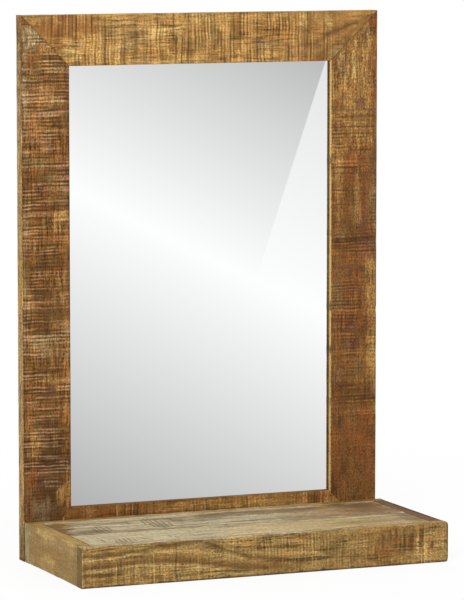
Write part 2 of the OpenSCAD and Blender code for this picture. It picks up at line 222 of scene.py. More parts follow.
class Graph:
    """Adds nodes to a tree, and sets or links their inputs."""

    def __init__(self, tree):
        self.tree = tree
        tree.nodes.clear()

    def add(self, kind, inputs=None, **settings):
        made = self.tree.nodes.new(kind)
        for key, value in settings.items():
            setattr(made, key, value)
        for key, value in (inputs or {}).items():
            self.put(made.inputs[key], value)
        return made

    def put(self, socket, value):
        if isinstance(value, bpy.types.NodeSocket):
            self.tree.links.new(value, socket)
        elif socket.type == "RGBA":
            socket.default_value = (*value[:3], 1)
        else:
            socket.default_value = value

    def math(self, operation, a, b=0.0, clamp=False):
        return self.add("ShaderNodeMath", {0: a, 1: b}, operation=operation, use_clamp=clamp).outputs[0]

    def times(self, a, b, clamp=False):
        return self.math("MULTIPLY", a, b, clamp)

    def plus(self, a, b):
        return self.math("ADD", a, b)

    def minus(self, a, b):
        return self.math("SUBTRACT", a, b)

    def vector(self, operation, a, b=(0, 0, 0)):
        made = self.add("ShaderNodeVectorMath", {0: a, 1: b}, operation=operation)
        return made.outputs["Value" if operation == "LENGTH" else "Vector"]

    def steps(self, value, low, high, to_low=0.0, to_high=1.0, soft=True):
        """The value between low and high, mapped onto another range and held at its ends."""
        kind = "SMOOTHSTEP" if soft else "LINEAR"
        inputs = {"Value": value, "From Min": low, "From Max": high, "To Min": to_low, "To Max": to_high}
        return self.add("ShaderNodeMapRange", inputs, interpolation_type=kind).outputs["Result"]

    def blend(self, factor, a, b, how="MIX"):
        made = self.add("ShaderNodeMix", data_type="RGBA", blend_type=how)
        made.clamp_result = False
        for socket, value in zip((made.inputs[0], made.inputs[6], made.inputs[7]), (factor, a, b)):
            self.put(socket, value)
        return made.outputs[2]

    def brighten(self, colour, factor):
        """The colour times a number."""
        grey = self.add("ShaderNodeCombineXYZ", {0: factor, 1: factor, 2: factor}).outputs[0]
        return self.blend(1.0, colour, grey, "MULTIPLY")

    def place(self):
        """A point's place in its object, in metres."""
        return self.add("ShaderNodeTexCoord").outputs["Object"]

    def noise(self, vector, scale=1.0, detail=2.0, roughness=0.5, colour=False):
        inputs = {"Vector": vector, "Scale": scale, "Detail": detail, "Roughness": roughness}
        return self.add("ShaderNodeTexNoise", inputs).outputs["Color" if colour else "Fac"]

    def stretched(self, vector, scales, offset=(0, 0, 0)):
        inputs = {"Vector": vector, "Scale": scales, "Location": offset}
        return self.add("ShaderNodeMapping", inputs).outputs[0]

    def pattern(self, vector, scales, low, high, offset=(0, 0, 0), soft=True, **noise):
        """Stretched noise whose values between low and high run from 0 to 1."""
        return self.steps(self.noise(self.stretched(vector, scales, offset), **noise), low, high, soft=soft)

    def attribute(self, name, output="Fac"):
        return self.add("ShaderNodeAttribute", attribute_name=name).outputs[output]

    def bump(self, height, strength, distance):
        inputs = {"Strength": strength, "Distance": distance, "Height": height}
        return self.add("ShaderNodeBump", inputs).outputs[0]

    def surface(self, **inputs):
        """The finished surface: one Principled shader and the material's output."""
        made = self.add("ShaderNodeBsdfPrincipled", {k.replace("_", " "): v for k, v in inputs.items()})
        self.add("ShaderNodeOutputMaterial", {"Surface": made.outputs[0]})


def new_material(name):
    made = bpy.data.materials.new(name)
    made.use_nodes = True
    return made, Graph(made.node_tree)


# ---- Objects ----


def mesh_from(bm, name):
    mesh = bpy.data.meshes.new(name)
    bm.to_mesh(mesh)
    bm.free()
    return mesh


def add_object(name, data):
    made = bpy.data.objects.new(name, data)
    bpy.context.scene.collection.objects.link(made)
    return made


# ---- Boards ----


class Board:
    """A board's own directions: u along the grain, v across its face and w into its depth, all in metres.

    axes names the row axis that each follows, and start is the corner where all three are nought.
    """

    def __init__(self, axes, start, signs, size):
        self.axes = ["XYZ".index(a) for a in axes]
        self.start, self.signs, self.size = Vector(start), signs, size

    def place(self, u, v, w):
        point = self.start.copy()
        for axis, sign, value in zip(self.axes, self.signs, (u, v, w)):
            point[axis] += sign * value
        return point

    def local(self, point):
        return [sign * (point[axis] - self.start[axis]) for axis, sign in zip(self.axes, self.signs)]

    def direction(self, index):
        way = Vector((0, 0, 0))
        way[self.axes[index]] = self.signs[index]
        return way


def board_from_box(node, axes, signs):
    """The board that fills a node's box, seen from the side that its signs start at."""
    low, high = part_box(node)
    order = ["XYZ".index(a) for a in axes]
    start = Vector((0, 0, 0))
    for axis, sign in zip(order, signs):
        start[axis] = low[axis] if sign > 0 else high[axis]
    return Board(axes, start, signs, [high[axis] - low[axis] for axis in order])


def wood(node, axes, signs, slot, **changes):
    """A board of the mirror and how its wood looks, where lengths are millimetres in its own directions.

    tones are the three shades that its figure runs through. edge, end and mark colour its worn edges, its
    end grain and the ridges between saw marks, mark being a painted highlight there. warm, cool, dark, vein,
    streak and rough are strengths of its pattern, saw and side_saw those of its saw marks, which carry
    painted shade in their grooves, and a grain below 1 stretches its pattern along.

    A patch is (colour, u, v, half length, half width, share), mostly staining in the wood, and on some
    boards a painted shade line, where the stiles meet the glass and along the shelf's front board's arrises.
    A vein is (colour, half width, share, points), a line that the saw left (u, v, half length, strength), a
    groove below nought and a ridge above it, a smooth stretch (u, half length, share) and a chip (u, v, w,
    half length, radius, depth). sides holds such patches of the low and the high side, in u and w. A worn
    edge is (v, w, reach, strength, evenness), its v and w as shares of the board's width and depth.
    """
    made = SimpleNamespace(
        node=node, board=board_from_box(node, axes, signs), slot=slot,
        tones=("brown", "tan", "honey"), edge="honey", end="brown", mark="straw",
        warm=0.5, cool=0.35, dark=0.4, vein=0.3, streak=0.55, rough=0.55, saw=1.0, side_saw=0.15, grain=1.0,
        stains=(), veins=(), lines=(), smooth=(), chips=(), sides={},
        worn=((0, 0, 3, 0.7, 0.4), (1, 0, 3, 0.7, 0.4), (0, 1, 3, 0.5, 0.4), (1, 1, 3, 0.5, 0.4)),
    )
    made.__dict__.update(changes)
    return made


def smoothed(value):
    """From 0 to 1 with a soft start and end."""
    value = np.clip(value, 0, 1)
    return value * value * (3 - 2 * value)


def cloud(u, v, long, wide, seed):
    """Smooth noise from -1 to 1 whose blotches are about this long and wide, in metres."""
    cells = 64
    table = np.random.RandomState(seed).uniform(-1, 1, (cells, cells))
    a, b = u / long + 0.37 * cells, v / wide + 0.61 * cells
    i, j = np.floor(a).astype(int), np.floor(b).astype(int)
    s, t = smoothed(a - i), smoothed(b - j)
    here, there = i % cells, (i + 1) % cells
    down, up = j % cells, (j + 1) % cells
    low = table[here, down] * (1 - s) + table[there, down] * s
    high = table[here, up] * (1 - s) + table[there, up] * s
    return low * (1 - t) + high * t


def saw_marks(rng, u, v, length, width, pitch, slant):
    """What the saw left at points of one face: grooves below nought and ridges above it."""
    marks = []
    at = 0.0
    while at < length:
        at += pitch * rng.uniform(0.84, 1.16)
        for place, weakest, strongest in ((at, -1.1, -0.25), (at + pitch / 2, 0.05, 1.0)):
            for _ in range(rng.choice((1, 2, 3))):
                along = place + rng.uniform(-0.08, 0.08) * pitch
                middle, reach = rng.uniform(0, 1) * width, rng.uniform(0.18, 0.75) * width
                half_width, strength = rng.uniform(0.0008, 0.0013), rng.uniform(weakest, strongest)
                lean = slant + rng.uniform(-0.015, 0.015)
                marks.append((along, middle, reach, half_width, strength, lean))
    return draw_marks(marks, u, v, width)


def draw_marks(marks, u, v, width):
    """The sum of marks (u, v, half length, half width, strength, slant) at points of a face."""
    order = np.argsort(u, kind="stable")
    along, across = u[order], v[order]
    total = np.zeros(len(u))
    for place, middle, reach, half_width, strength, slant in marks:
        margin = 3 * half_width + abs(slant) * width
        first, last = np.searchsorted(along, (place - margin, place + margin))
        away = across[first:last] - middle
        off = (along[first:last] - place - slant * away) / half_width
        fade = np.clip(1 - (away / reach) ** 4, 0, None)
        total[first:last] += strength * np.exp(-off * off) * fade
    drawn = np.empty_like(total)
    drawn[order] = total
    return drawn


def vein_mask(u, v, points, half_width):
    """1 on a line through points in millimetres, and less beside it."""
    nearest = np.full(len(u), np.inf)
    for (u0, v0), (u1, v1) in zip(points, points[1:]):
        du, dv = (u1 - u0) * MM, (v1 - v0) * MM
        away_u, away_v = u - u0 * MM, v - v0 * MM
        share = np.clip((away_u * du + away_v * dv) / (du * du + dv * dv), 0, 1)
        nearest = np.minimum(nearest, np.hypot(away_u - share * du, away_v - share * dv))
    return np.exp(-((nearest / (half_width * MM)) ** 2))


def paint(u, v, stains, veins, seed):
    """Colour and share of the staining, the painted shade lines and the veins at points of a face."""
    named = tones()
    cover = np.zeros(len(u))
    colour = np.zeros((len(u), 3))
    ragged_u = 0.42 * cloud(u, v, 0.011, 0.0035, seed) + 0.34 * cloud(u, v, 0.004, 0.0025, seed + 1)
    ragged_v = 0.42 * cloud(u, v, 0.014, 0.004, seed + 2) + 0.34 * cloud(u, v, 0.0035, 0.0035, seed + 3)
    layers = []
    for kind, at_u, at_v, half_length, half_width, share in stains:
        du = (u - at_u * MM) / (half_length * MM) + ragged_u
        dv = (v - at_v * MM) / (half_width * MM) + ragged_v
        layers.append((kind, share * smoothed((1.35 - np.hypot(du, dv)) / 0.95)))
    for kind, half_width, share, points in veins:
        wobble = 0.0008 * cloud(u, v, 0.01, 0.01, seed + 4)
        layers.append((kind, share * vein_mask(u, v + wobble, points, half_width) * (0.85 + 0.4 * ragged_u)))
    for kind, mask in layers:
        cover = cover * (1 - mask) + mask
        colour = colour * (1 - mask[:, None]) + mask[:, None] * np.array(named[kind])
    return np.column_stack((colour / np.maximum(cover, 1e-4)[:, None], cover))


def face_masks(board, normals):
    """Which points belong to a board's face, back, low side and high side."""
    facing = normals[:, board.axes[2]] * board.signs[2]
    aside = normals[:, board.axes[1]] * board.signs[1]
    flat = np.abs(facing) >= np.abs(aside)
    return {
        "face": flat & (facing < 0),
        "back": flat & (facing >= 0),
        "low": ~flat & (aside < 0),
        "high": ~flat & (aside >= 0),
    }


def mark_sides(piece, settings, seed, places, normals):
    """The saw marks, and the staining and painted shade lines, at the points of a board, side by side."""
    u, v, w = places
    length, width, depth = piece.board.size
    saw, even = np.zeros(len(u)), np.ones(len(u))
    tint = np.zeros((len(u), 4))
    for at_u, half_length, share in piece.smooth:
        even *= 1 - share * smoothed(1.6 - np.abs(u - at_u * MM) / (half_length * MM))
    for index, (side, mask) in enumerate(face_masks(piece.board, normals).items()):
        own = seed + index
        broad = side in ("face", "back")
        along = u[mask]
        across, reach = (v[mask], width) if broad else (w[mask], depth)
        rng = random.Random(own)
        wavy = along + 0.0009 * cloud(along, across, 0.03, 0.018, own + 16)
        wavy += 0.0004 * cloud(along, across, 0.009, 0.007, own + 17)
        marks = saw_marks(rng, wavy, across, length, reach, settings.saw_pitch, rng.uniform(-0.02, 0.02))
        calm = np.clip(0.8 + 0.9 * cloud(along, across, 0.035, 0.02, own), 0.3, 1.4)
        broken = 0.9 + 0.35 * cloud(along, across, 0.003, 0.004, own + 4)
        band = 0.35 * cloud(along, across, 0.008, 0.03, own + 8)
        marks = (marks * calm * broken + band) * (even[mask] * (piece.saw if broad else piece.side_saw))
        if side == "face":
            lines = [(a * MM, b * MM, c * MM, LINE_WIDTH / 2, share, 0) for a, b, c, share in piece.lines]
            marks += draw_marks(lines, wavy, across, reach) * broken * LINE_SHARE
            tint[mask] = paint(along, across, piece.stains, piece.veins, own)
        elif side != "back":
            tint[mask] = paint(along, across, piece.sides.get(side, ()), (), own)
        saw[mask] = np.clip(marks, -1, 1)
    return saw, tint


def wear_edges(piece, seed, places):
    """How worn a board is at its points, from 0 to 1."""
    u, v, w = places
    _, width, depth = piece.board.size
    wear = np.zeros(len(u))
    for share_v, share_w, reach, strength, evenness in piece.worn:
        gap = np.hypot(v - share_v * width, w - share_w * depth) / (reach * MM)
        patchy = np.clip(evenness + 0.9 * cloud(u, u * 0 + share_v, 0.014, 1, seed + 11), 0, 1)
        wear = np.maximum(wear, np.clip(1 - gap, 0, 1) * patchy * strength)
    return wear


def lose_wood(piece, settings, seed, places, saw, wear):
    """How deep the surface lies below the plain board at its points, in metres."""
    u, v, w = places
    waves = cloud(u, v, 0.055, 0.03, seed + 9) + cloud(u, w, 0.03, 0.015, seed + 10)
    lost = settings.wave_depth * (0.5 + 0.25 * waves) + settings.saw_depth * (0.4 - 0.6 * saw)
    lost += settings.wear_depth * np.clip(wear, 0, 1)
    for at_u, at_v, at_w, half_length, radius, depth in piece.chips:
        aside = np.hypot(v - at_v * MM, w - at_w * MM) / (radius * MM)
        off = np.hypot((u - at_u * MM) / (half_length * MM), aside)
        lost += depth * MM * smoothed(1 - off + 0.25 * cloud(u, v, 0.004, 0.004, seed + 12))
    return np.maximum(lost, 0)


def weather(bm, piece, settings, seed):
    """Saws, wears and chips a board's surface inwards, and keeps where for its material to read."""
    board = piece.board
    bm.normal_update()
    points = np.array([v.co[:] for v in bm.verts])
    normals = np.array([v.normal[:] for v in bm.verts])
    places = [(points[:, axis] - board.start[axis]) * sign for axis, sign in zip(board.axes, board.signs)]
    ends = smoothed(np.abs(normals[:, board.axes[0]]) * 2 - 0.8)
    saw, tint = mark_sides(piece, settings, seed, places, normals)
    saw *= 1 - ends
    wear = wear_edges(piece, seed, places)
    moved = points - normals * lose_wood(piece, settings, seed, places, saw, wear)[:, None]
    layers = {"saw": saw, "wear": wear, "ends": ends}
    layers = [(bm.verts.layers.float.new(name), values.tolist()) for name, values in layers.items()]
    tint_layer = bm.verts.layers.float_color.new("tint")
    for index, (vert, place, colour) in enumerate(zip(bm.verts, moved.tolist(), tint.tolist())):
        vert.co = place
        vert[tint_layer] = colour
        for layer, values in layers:
            vert[layer] = values[index]


def long_edges(bm, board, index, share=0.5):
    """Edges that run along one of the board's directions for more than a share of its size."""
    axis = board.axes[index]
    least = board.size[index] * share
    return [e for e in bm.edges if abs(e.verts[0].co[axis] - e.verts[1].co[axis]) > least]


def cut_in_rings(bm, board, index, spacing, share=0.5):
    """Divides the board's faces by parallel rings across one of its directions."""
    edges = long_edges(bm, board, index, share)
    cuts = max(1, round(board.size[index] / spacing)) - 1
    if edges and cuts:
        bmesh.ops.subdivide_edges(bm, edges=edges, cuts=cuts, use_grid_fill=True)


def bevel(bm, edges, offset, segments=3):
    bmesh.ops.bevel(
        bm, geom=edges, offset=offset, offset_type="OFFSET", segments=segments,
        profile=0.5, affect="EDGES", material=-1,
    )


def box_between(bm, low, high):
    """A plain box between two corners."""
    made = bmesh.ops.create_cube(bm, size=1)
    bmesh.ops.scale(bm, vec=high - low, verts=made["verts"])
    bmesh.ops.translate(bm, vec=(low + high) / 2, verts=made["verts"])


def straight_board(piece, settings, seed):
    """A board with square ends and eased edges that fills a node's box."""
    board = piece.board
    bm = bmesh.new()
    box_between(bm, *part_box(piece.node))
    bevel(bm, long_edges(bm, board, 0), settings.arris)
    half = board.size[0] / 2
    ends = [e for e in bm.edges if all(abs(abs(board.local(v.co)[0] - half) - half) < NEAR for v in e.verts)]
    bevel(bm, ends, settings.end_arris, segments=2)
    for index, spacing in enumerate((settings.grid, settings.cross_grid, settings.cross_grid)):
        cut_in_rings(bm, board, index, spacing)
    weather(bm, piece, settings, seed)
    return bm


def rebated_profile(board):
    """Corners of a frame board's section, from its front outer edge round to its back outer edge."""
    width, depth = board.size[1], board.size[2]
    step = width - PLACES.lip_w
    ledge = width - (PLACES.lip_w + PLACES.ledge_w)
    return [
        (0, 0), (width, 0), (width, PLACES.lip_t), (step, PLACES.lip_t),
        (step, PLACES.ledge_depth), (ledge, PLACES.ledge_depth), (ledge, depth), (0, depth),
    ]


def edges_at(bm, board, corners):
    """Long edges that lie at these corners of the board's section."""
    found = []
    for e in long_edges(bm, board, 0):
        _, v, w = board.local(e.verts[0].co)
        if any(abs(v - a) < NEAR and abs(w - b) < NEAR for a, b in corners):
            found.append(e)
    return found


def cut_across(bm, axis, least, spacing):
    """Divides the edges along an axis that are longer than the eased ones, each length on its own."""
    spans = {}
    for e in bm.edges:
        span = abs(e.verts[0].co[axis] - e.verts[1].co[axis])
        if span > least:
            spans.setdefault(round(span * 1e5), []).append(e)
    for span, edges in spans.items():
        cuts = max(1, round(span * 1e-5 / spacing)) - 1
        if cuts:
            bmesh.ops.subdivide_edges(bm, edges=edges, cuts=cuts, use_grid_fill=True)


def frame_board(piece, settings, seed):
    """A rebated board whose two ends are cut at its mitres, each given as (outer corner, inner corner)."""
    board = piece.board
    profile = rebated_profile(board)
    bm = bmesh.new()
    ring = bm.faces.new([bm.verts.new(board.place(0, v, w)) for v, w in profile])
    grown = bmesh.ops.extrude_face_region(bm, geom=[ring])
    moved = [g for g in grown["geom"] if isinstance(g, bmesh.types.BMVert)]
    bmesh.ops.translate(bm, vec=board.direction(0) * board.size[0], verts=moved)
    bmesh.ops.recalc_face_normals(bm, faces=bm.faces)
    arrises = [profile[0], profile[1], profile[7]]
    inner = [profile[2], profile[4], profile[6]]
    bevel(bm, edges_at(bm, board, arrises), settings.arris)
    bevel(bm, edges_at(bm, board, inner), settings.rebate_arris, segments=2)
    cut_across(bm, board.axes[1], LEAST_WIDTH, settings.cross_grid)
    cut_across(bm, board.axes[2], LEAST_DEPTH, settings.cross_grid)
    cut_in_rings(bm, board, 0, settings.grid)
    weather(bm, piece, settings, seed)
    middle = board.place(board.size[0] / 2, board.size[1] / 2, board.size[2] / 2)
    for outer, inner_corner in piece.mitres:
        cut_mitre(bm, outer, inner_corner, middle, settings.mitre_gap)
    return bm


def cut_mitre(bm, outer, inner_corner, middle, gap):
    """Cuts a board through its outer and inner corner, and closes the cut."""
    along = (inner_corner - outer).normalized()
    normal = along.cross(Vector((0, 1, 0)))
    if normal.dot(middle - outer) < 0:
        normal = -normal
    cut = bmesh.ops.bisect_plane(
        bm, geom=bm.verts[:] + bm.edges[:] + bm.faces[:], dist=NEAR,
        plane_co=outer + normal * gap, plane_no=normal, clear_inner=True,
    )
    edges = [g for g in cut["geom_cut"] if isinstance(g, bmesh.types.BMEdge)]
    closed = bmesh.ops.contextual_create(bm, geom=edges)
    for face in closed["faces"]:
        for e in face.edges:
            e.smooth = False


def finish_piece(name, bm, materials, node, smooth=True):
    """Makes the object that stands for a node."""
    bmesh.ops.recalc_face_normals(bm, faces=bm.faces)
    mesh = mesh_from(bm, name)
    mesh.polygons.foreach_set("use_smooth", [smooth] * len(mesh.polygons))
    if smooth:
        mesh.set_sharp_from_angle(angle=SHARP)
    piece = add_object(name, mesh)
    for material in materials:
        mesh.materials.append(material)
    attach(piece, BODY)
    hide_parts(node)
    return piece


# ---- Mango wood ----


def grain_group():
    """The wood's pattern, from the board's own coordinates in metres."""
    name = "mango_grain"
    if name in bpy.data.node_groups:
        return bpy.data.node_groups[name]
    tree = bpy.data.node_groups.new(name, "ShaderNodeTree")
    tree.interface.new_socket("Place", in_out="INPUT", socket_type="NodeSocketVector")
    g = Graph(tree)
    place = g.add("NodeGroupInput").outputs[0]
    wander = g.noise(g.stretched(place, (9, 40, 40)), detail=3, colour=True)
    wander = g.vector("SUBTRACT", wander, (0.5, 0.5, 0.5))
    bent = g.vector("ADD", place, g.vector("MULTIPLY", wander, (0.012, 0.006, 0.006)))
    made = {
        "Figure": g.pattern(bent, (16, 44, 44), 0.3, 0.7, soft=False, detail=4, roughness=0.6),
        "Fibre": g.pattern(bent, (34, 440, 440), 0.25, 0.75, soft=False, detail=2, roughness=0.6),
        "Pores": g.pattern(bent, (150, 1900, 1900), 0.62, 0.72, offset=(3, 5, 7), detail=1),
        "Mottle": g.pattern(place, (360, 420, 420), 0.25, 0.75, soft=False, detail=2, roughness=0.7),
        "Warm": g.pattern(bent, (24, 60, 60), 0.52, 0.68, offset=(11, 2, 5), detail=3),
        "Cool": g.pattern(bent, (20, 66, 66), 0.54, 0.70, offset=(2, 13, 8), detail=3),
        "Dark": g.pattern(bent, (30, 70, 70), 0.56, 0.72, offset=(7, 3, 19), detail=4),
        "Vein": g.pattern(bent, (11, 150, 150), 0.53, 0.68, offset=(4, 8, 6), detail=3),
        "Patch": g.pattern(place, (14, 34, 34), 0.38, 0.62, offset=(5, 9, 1), detail=1),
    }
    for output in made:
        tree.interface.new_socket(output, in_out="OUTPUT", socket_type="NodeSocketFloat")
    out = g.add("NodeGroupOutput")
    for output, value in made.items():
        g.put(out.inputs[output], value)
    return tree


def board_place(g, board, offset):
    """A point's place along, across and into the board, in metres, moved by an offset into fresh wood."""
    parts = g.add("ShaderNodeSeparateXYZ", {0: g.vector("SUBTRACT", g.place(), tuple(board.start))})
    order = [parts.outputs[axis] for axis in board.axes]
    signed = [o if s > 0 else g.times(o, -1.0) for o, s in zip(order, board.signs)]
    own = g.add("ShaderNodeCombineXYZ", dict(enumerate(signed))).outputs[0]
    return g.vector("ADD", own, offset)


def bare_wood(g, piece, grain, tone):
    """Three shades of figure, with warm, cool and dark streaks and fine veins."""
    low, middle, high = (tone[t] for t in piece.tones)
    colour = g.blend(g.steps(grain["Figure"], 0.0, 0.5), low, middle)
    colour = g.blend(g.steps(grain["Figure"], 0.5, 1.0), colour, high)
    streaks = (
        ("Warm", piece.warm, "rust"), ("Cool", piece.cool, "moss"),
        ("Dark", piece.dark, "umber"), ("Vein", piece.vein, "umber"),
    )
    for pattern, share, name in streaks:
        colour = g.blend(g.times(grain[pattern], share), colour, tone[name])
    return colour


def stain(g, grain, colour):
    """Lays the board's own staining and painted shade lines over its colour, with edges that follow the
    fibres.
    """
    ragged = g.plus(g.times(grain["Fibre"], 0.5), g.times(grain["Mottle"], 0.5))
    ragged = g.steps(ragged, 0.2, 0.8, 0.5, 1.2, soft=False)
    share = g.times(g.attribute("tint", "Alpha"), ragged, clamp=True)
    return g.blend(share, colour, g.attribute("tint", "Color"))


def fibres(g, piece, grain, colour):
    """Light and dark fibres along the board, and its rough grit."""
    strength = g.steps(grain["Patch"], 0, 1, 0.35 * piece.streak, piece.streak, soft=False)
    fine = g.times(g.minus(grain["Fibre"], 0.5), g.times(strength, 2.0))
    grit = g.times(g.minus(grain["Mottle"], 0.5), 2.0 * piece.rough)
    return g.brighten(colour, g.math("MAXIMUM", g.plus(1.0, g.plus(fine, grit)), 0.15))


def sawn(g, piece, grain, colour, tone):
    """Painted shade in the saw's grooves and painted highlight on its ridges, following the carved saw
    relief.
    """
    saw = g.attribute("saw")
    broken = g.steps(grain["Mottle"], 0.1, 0.9, 0.55, 1.3, soft=False)
    dark = g.times(g.steps(saw, 0.0, -1.0, 0.0, 0.82, soft=False), broken, clamp=True)
    pale = g.times(g.steps(saw, 0.0, 1.0, 0.0, 0.75, soft=False), broken, clamp=True)
    # Painted shade darkens the grooves, and a painted highlight lightens the ridges.
    groove_shade = g.blend(0.45, g.brighten(colour, 0.3), tone["umber"])
    ridge_highlight = g.blend(0.4, g.brighten(colour, 1.9), tone[piece.mark])
    return g.blend(pale, g.blend(dark, colour, groove_shade), ridge_highlight)


def end_grain(g, place, colour):
    """The colour of the board's ends, speckled with cut fibres."""
    cut = g.noise(g.stretched(place, (60, 500, 700)), detail=3, roughness=0.7)
    colour = g.brighten(colour, g.steps(g.noise(place, 70), 0.4, 0.65, 1.0, 0.72))
    return g.brighten(colour, g.steps(cut, 0.35, 0.65, 0.7, 1.25))


def mango(name, piece, offset):
    """Rough-sawn, waxed mango wood for one board."""
    tone = tones()
    material, g = new_material(name)
    place = board_place(g, piece.board, offset)
    grain = g.add("ShaderNodeGroup", node_tree=grain_group())
    g.put(grain.inputs[0], g.stretched(place, (piece.grain, 1, 1)))
    grain = grain.outputs
    colour = bare_wood(g, piece, grain, tone)
    colour = stain(g, grain, colour)
    colour = fibres(g, piece, grain, colour)
    colour = sawn(g, piece, grain, colour, tone)
    colour = g.blend(g.times(grain["Pores"], 0.45), colour, tone["umber"])
    wear = g.times(g.attribute("wear"), g.steps(grain["Mottle"], 0.2, 0.8, 0.7, 1.2))
    colour = g.blend(g.steps(wear, 0.05, 0.6), colour, tone[piece.edge])
    colour = g.blend(g.attribute("ends"), colour, end_grain(g, place, tone[piece.end]))
    relief = g.plus(g.times(grain["Fibre"], 0.5), g.times(grain["Mottle"], 0.5))
    relief = g.minus(relief, g.times(grain["Pores"], 0.6))
    sheen = g.steps(grain["Mottle"], 0.0, 1.0, 0.52, 0.78, soft=False)
    bump = g.bump(relief, 0.35, 0.0003)
    g.surface(Base_Color=colour, Roughness=sheen, Normal=bump, Specular_IOR_Level=WAX_GLOSS)
    return material


def dress_board(piece, bm, suffix, index, steps, start=0):
    """Makes the object of one board, cut from its own place in the wood's pattern."""
    offset = (start + steps[0] * index, steps[1] * index, steps[2] * index)
    material = mango(piece.node + "_mango", piece, offset)
    return finish_piece(piece.node + suffix, bm, [material], piece.node)


# ---- Frame ----


def corner(x, z):
    """A point in the plane of the wall."""
    return Vector((x, 0, z))


# wood() says what the numbers in the tables of each board stand for.
# The ink line at v 65.2 is painted shade where the stile meets the glass; the umber line at v 0.6 darkens
# the front outer arris.
LEFT_STILE_STAINS_AND_SHADE = (
    ("umber", 74, 30, 104, 45, 0.78), ("umber", 300, 30, 90, 35, 0.2), ("umber", 350, 0.6, 400, 2.0, 0.95),
    ("ink", 350, 65.2, 400, 1.6, 0.9), ("sage", 676, 14, 18, 13, 0.75), ("sage", 610, 4, 50, 4, 0.5),
    ("rust", 649, 22, 6, 16, 0.45), ("moss", 638, 48, 6, 12, 0.4), ("brown", 624, 41, 9, 20, 0.6),
    ("brown", 607, 37, 5, 26, 0.45), ("amber", 596, 21, 8, 9, 0.4), ("straw", 596, 48, 4, 10, 0.45),
    ("umber", 585, 39, 6, 12, 0.7), ("amber", 564, 17, 14, 7, 0.5), ("umber", 562, 44, 3, 12, 0.75),
    ("rust", 555, 13, 11, 5, 0.6), ("umber", 552, 35, 4, 14, 0.55), ("plum", 541, 36, 5, 12, 0.5),
    ("plum", 531, 41, 3, 6, 0.6), ("rust", 528, 52, 10, 4, 0.45), ("moss", 518, 19, 6, 14, 0.5),
    ("umber", 508, 39, 6, 8, 0.55), ("rust", 500, 17, 12, 9, 0.5), ("moss", 495, 39, 5, 8, 0.7),
    ("umber", 480, 22, 6, 11, 0.5), ("moss", 465, 9, 8, 6, 0.45), ("rust", 458, 43, 4, 20, 0.7),
    ("honey", 440, 47, 13, 13, 0.45), ("moss", 433, 7, 22, 4, 0.5), ("rust", 421, 35, 5, 27, 0.7),
    ("umber", 394, 28, 19, 10, 0.55), ("moss", 359, 2, 60, 3, 0.7), ("rust", 399, 50, 3, 14, 0.7),
    ("rust", 378, 49, 4, 14, 0.7), ("umber", 380, 22, 5, 16, 0.5), ("rust", 357, 23, 4, 7, 0.6),
    ("umber", 345, 25, 9, 17, 0.6), ("umber", 328, 35, 8, 24, 0.45), ("slate", 321, 8, 10, 5, 0.4),
    ("moss", 284, 31, 15, 23, 0.45), ("amber", 228, 60, 74, 5, 0.6), ("umber", 265, 28, 4, 23, 0.35),
    ("umber", 246, 30, 5, 22, 0.6), ("honey", 234, 34, 5, 18, 0.35), ("plum", 220, 37, 8, 15, 0.5),
    ("amber", 187, 10, 22, 5, 0.5), ("umber", 177, 35, 12, 22, 0.5), ("tan", 146, 16, 24, 7, 0.85),
    ("umber", 135, 40, 21, 20, 0.75), ("ink", 119, 45, 4, 18, 0.5), ("plum", 114, 28, 12, 5, 0.6),
    ("rust", 107, 13, 19, 7, 0.75), ("umber", 94, 37, 13, 13, 0.8), ("ink", 88, 39, 5, 8, 0.45),
    ("honey", 83, 54, 14, 7, 0.6), ("amber", 89, 62, 28, 3, 0.8), ("slate", 62, 24, 19, 14, 0.4),
    ("umber", 56, 50, 15, 12, 0.5),
)
LEFT_STILE_VEINS = (
    ("ink", 0.8, 0.8, ((170, 54), (154, 57), (139, 59))), ("blush", 0.7, 0.5, ((134, 26), (133, 50))),
    ("blush", 0.7, 0.5, ((129, 44), (128, 60))), ("blush", 0.7, 0.4, ((104, 26), (103, 46))),
    ("blush", 0.7, 0.4, ((97, 30), (96, 52))), ("umber", 1.0, 0.6, ((86, 48), (78, 56), (64, 60))),
)
LEFT_STILE_LINES = (
    (632, 40, 30, -0.8), (628, 42, 28, -0.9), (624, 38, 30, -0.7), (619, 40, 32, -0.9), (601, 48, 14, 0.6),
    (598, 50, 20, -0.9), (571, 46, 20, -0.8), (563, 42, 22, -0.9), (539, 40, 28, -0.8), (532, 36, 12, 0.9),
    (526, 40, 26, -0.8), (516, 50, 16, -0.8), (499, 24, 22, -0.8), (486, 42, 22, -0.8), (457, 40, 30, -1.0),
    (446, 44, 24, -0.9), (439, 50, 18, -0.9), (424, 46, 22, -0.9), (411, 48, 20, -0.9), (401, 42, 20, 0.7),
    (398, 48, 18, -0.9), (378, 50, 18, -0.9), (371, 34, 34, 0.8), (363, 38, 30, -0.9), (332, 42, 24, -0.8),
    (304, 34, 32, 0.8), (300, 36, 30, -0.9), (246, 34, 24, -0.9), (226, 40, 22, -0.7), (203, 36, 24, -0.8),
)


def left_stile():
    return wood(
        "left_stile", "ZXY", (1, 1, 1), "frame_mango",
        tones=("brown", "chestnut", "tan"), mark="blush", saw=1.25, rough=0.75, streak=0.9,
        stains=LEFT_STILE_STAINS_AND_SHADE, veins=LEFT_STILE_VEINS, lines=LEFT_STILE_LINES,
        smooth=((70, 40, 0.85), (165, 30, 0.3)),
        sides={
            "low": (
                ("straw", 350, 10, 400, 16, 0.6), ("olive", 500, 8, 90, 8, 0.5),
                ("honey", 360, 10, 60, 9, 0.7), ("moss", 640, 4, 60, 6, 0.35),
                ("olive", 200, 12, 60, 7, 0.5), ("honey", 120, 10, 60, 9, 0.5), ("moss", 30, 8, 40, 14, 0.6),
                ("umber", 1, 10, 4, 16, 0.7),
            ),
        },
        worn=((0, 1, 3, 0.4, 0.3),),
    )


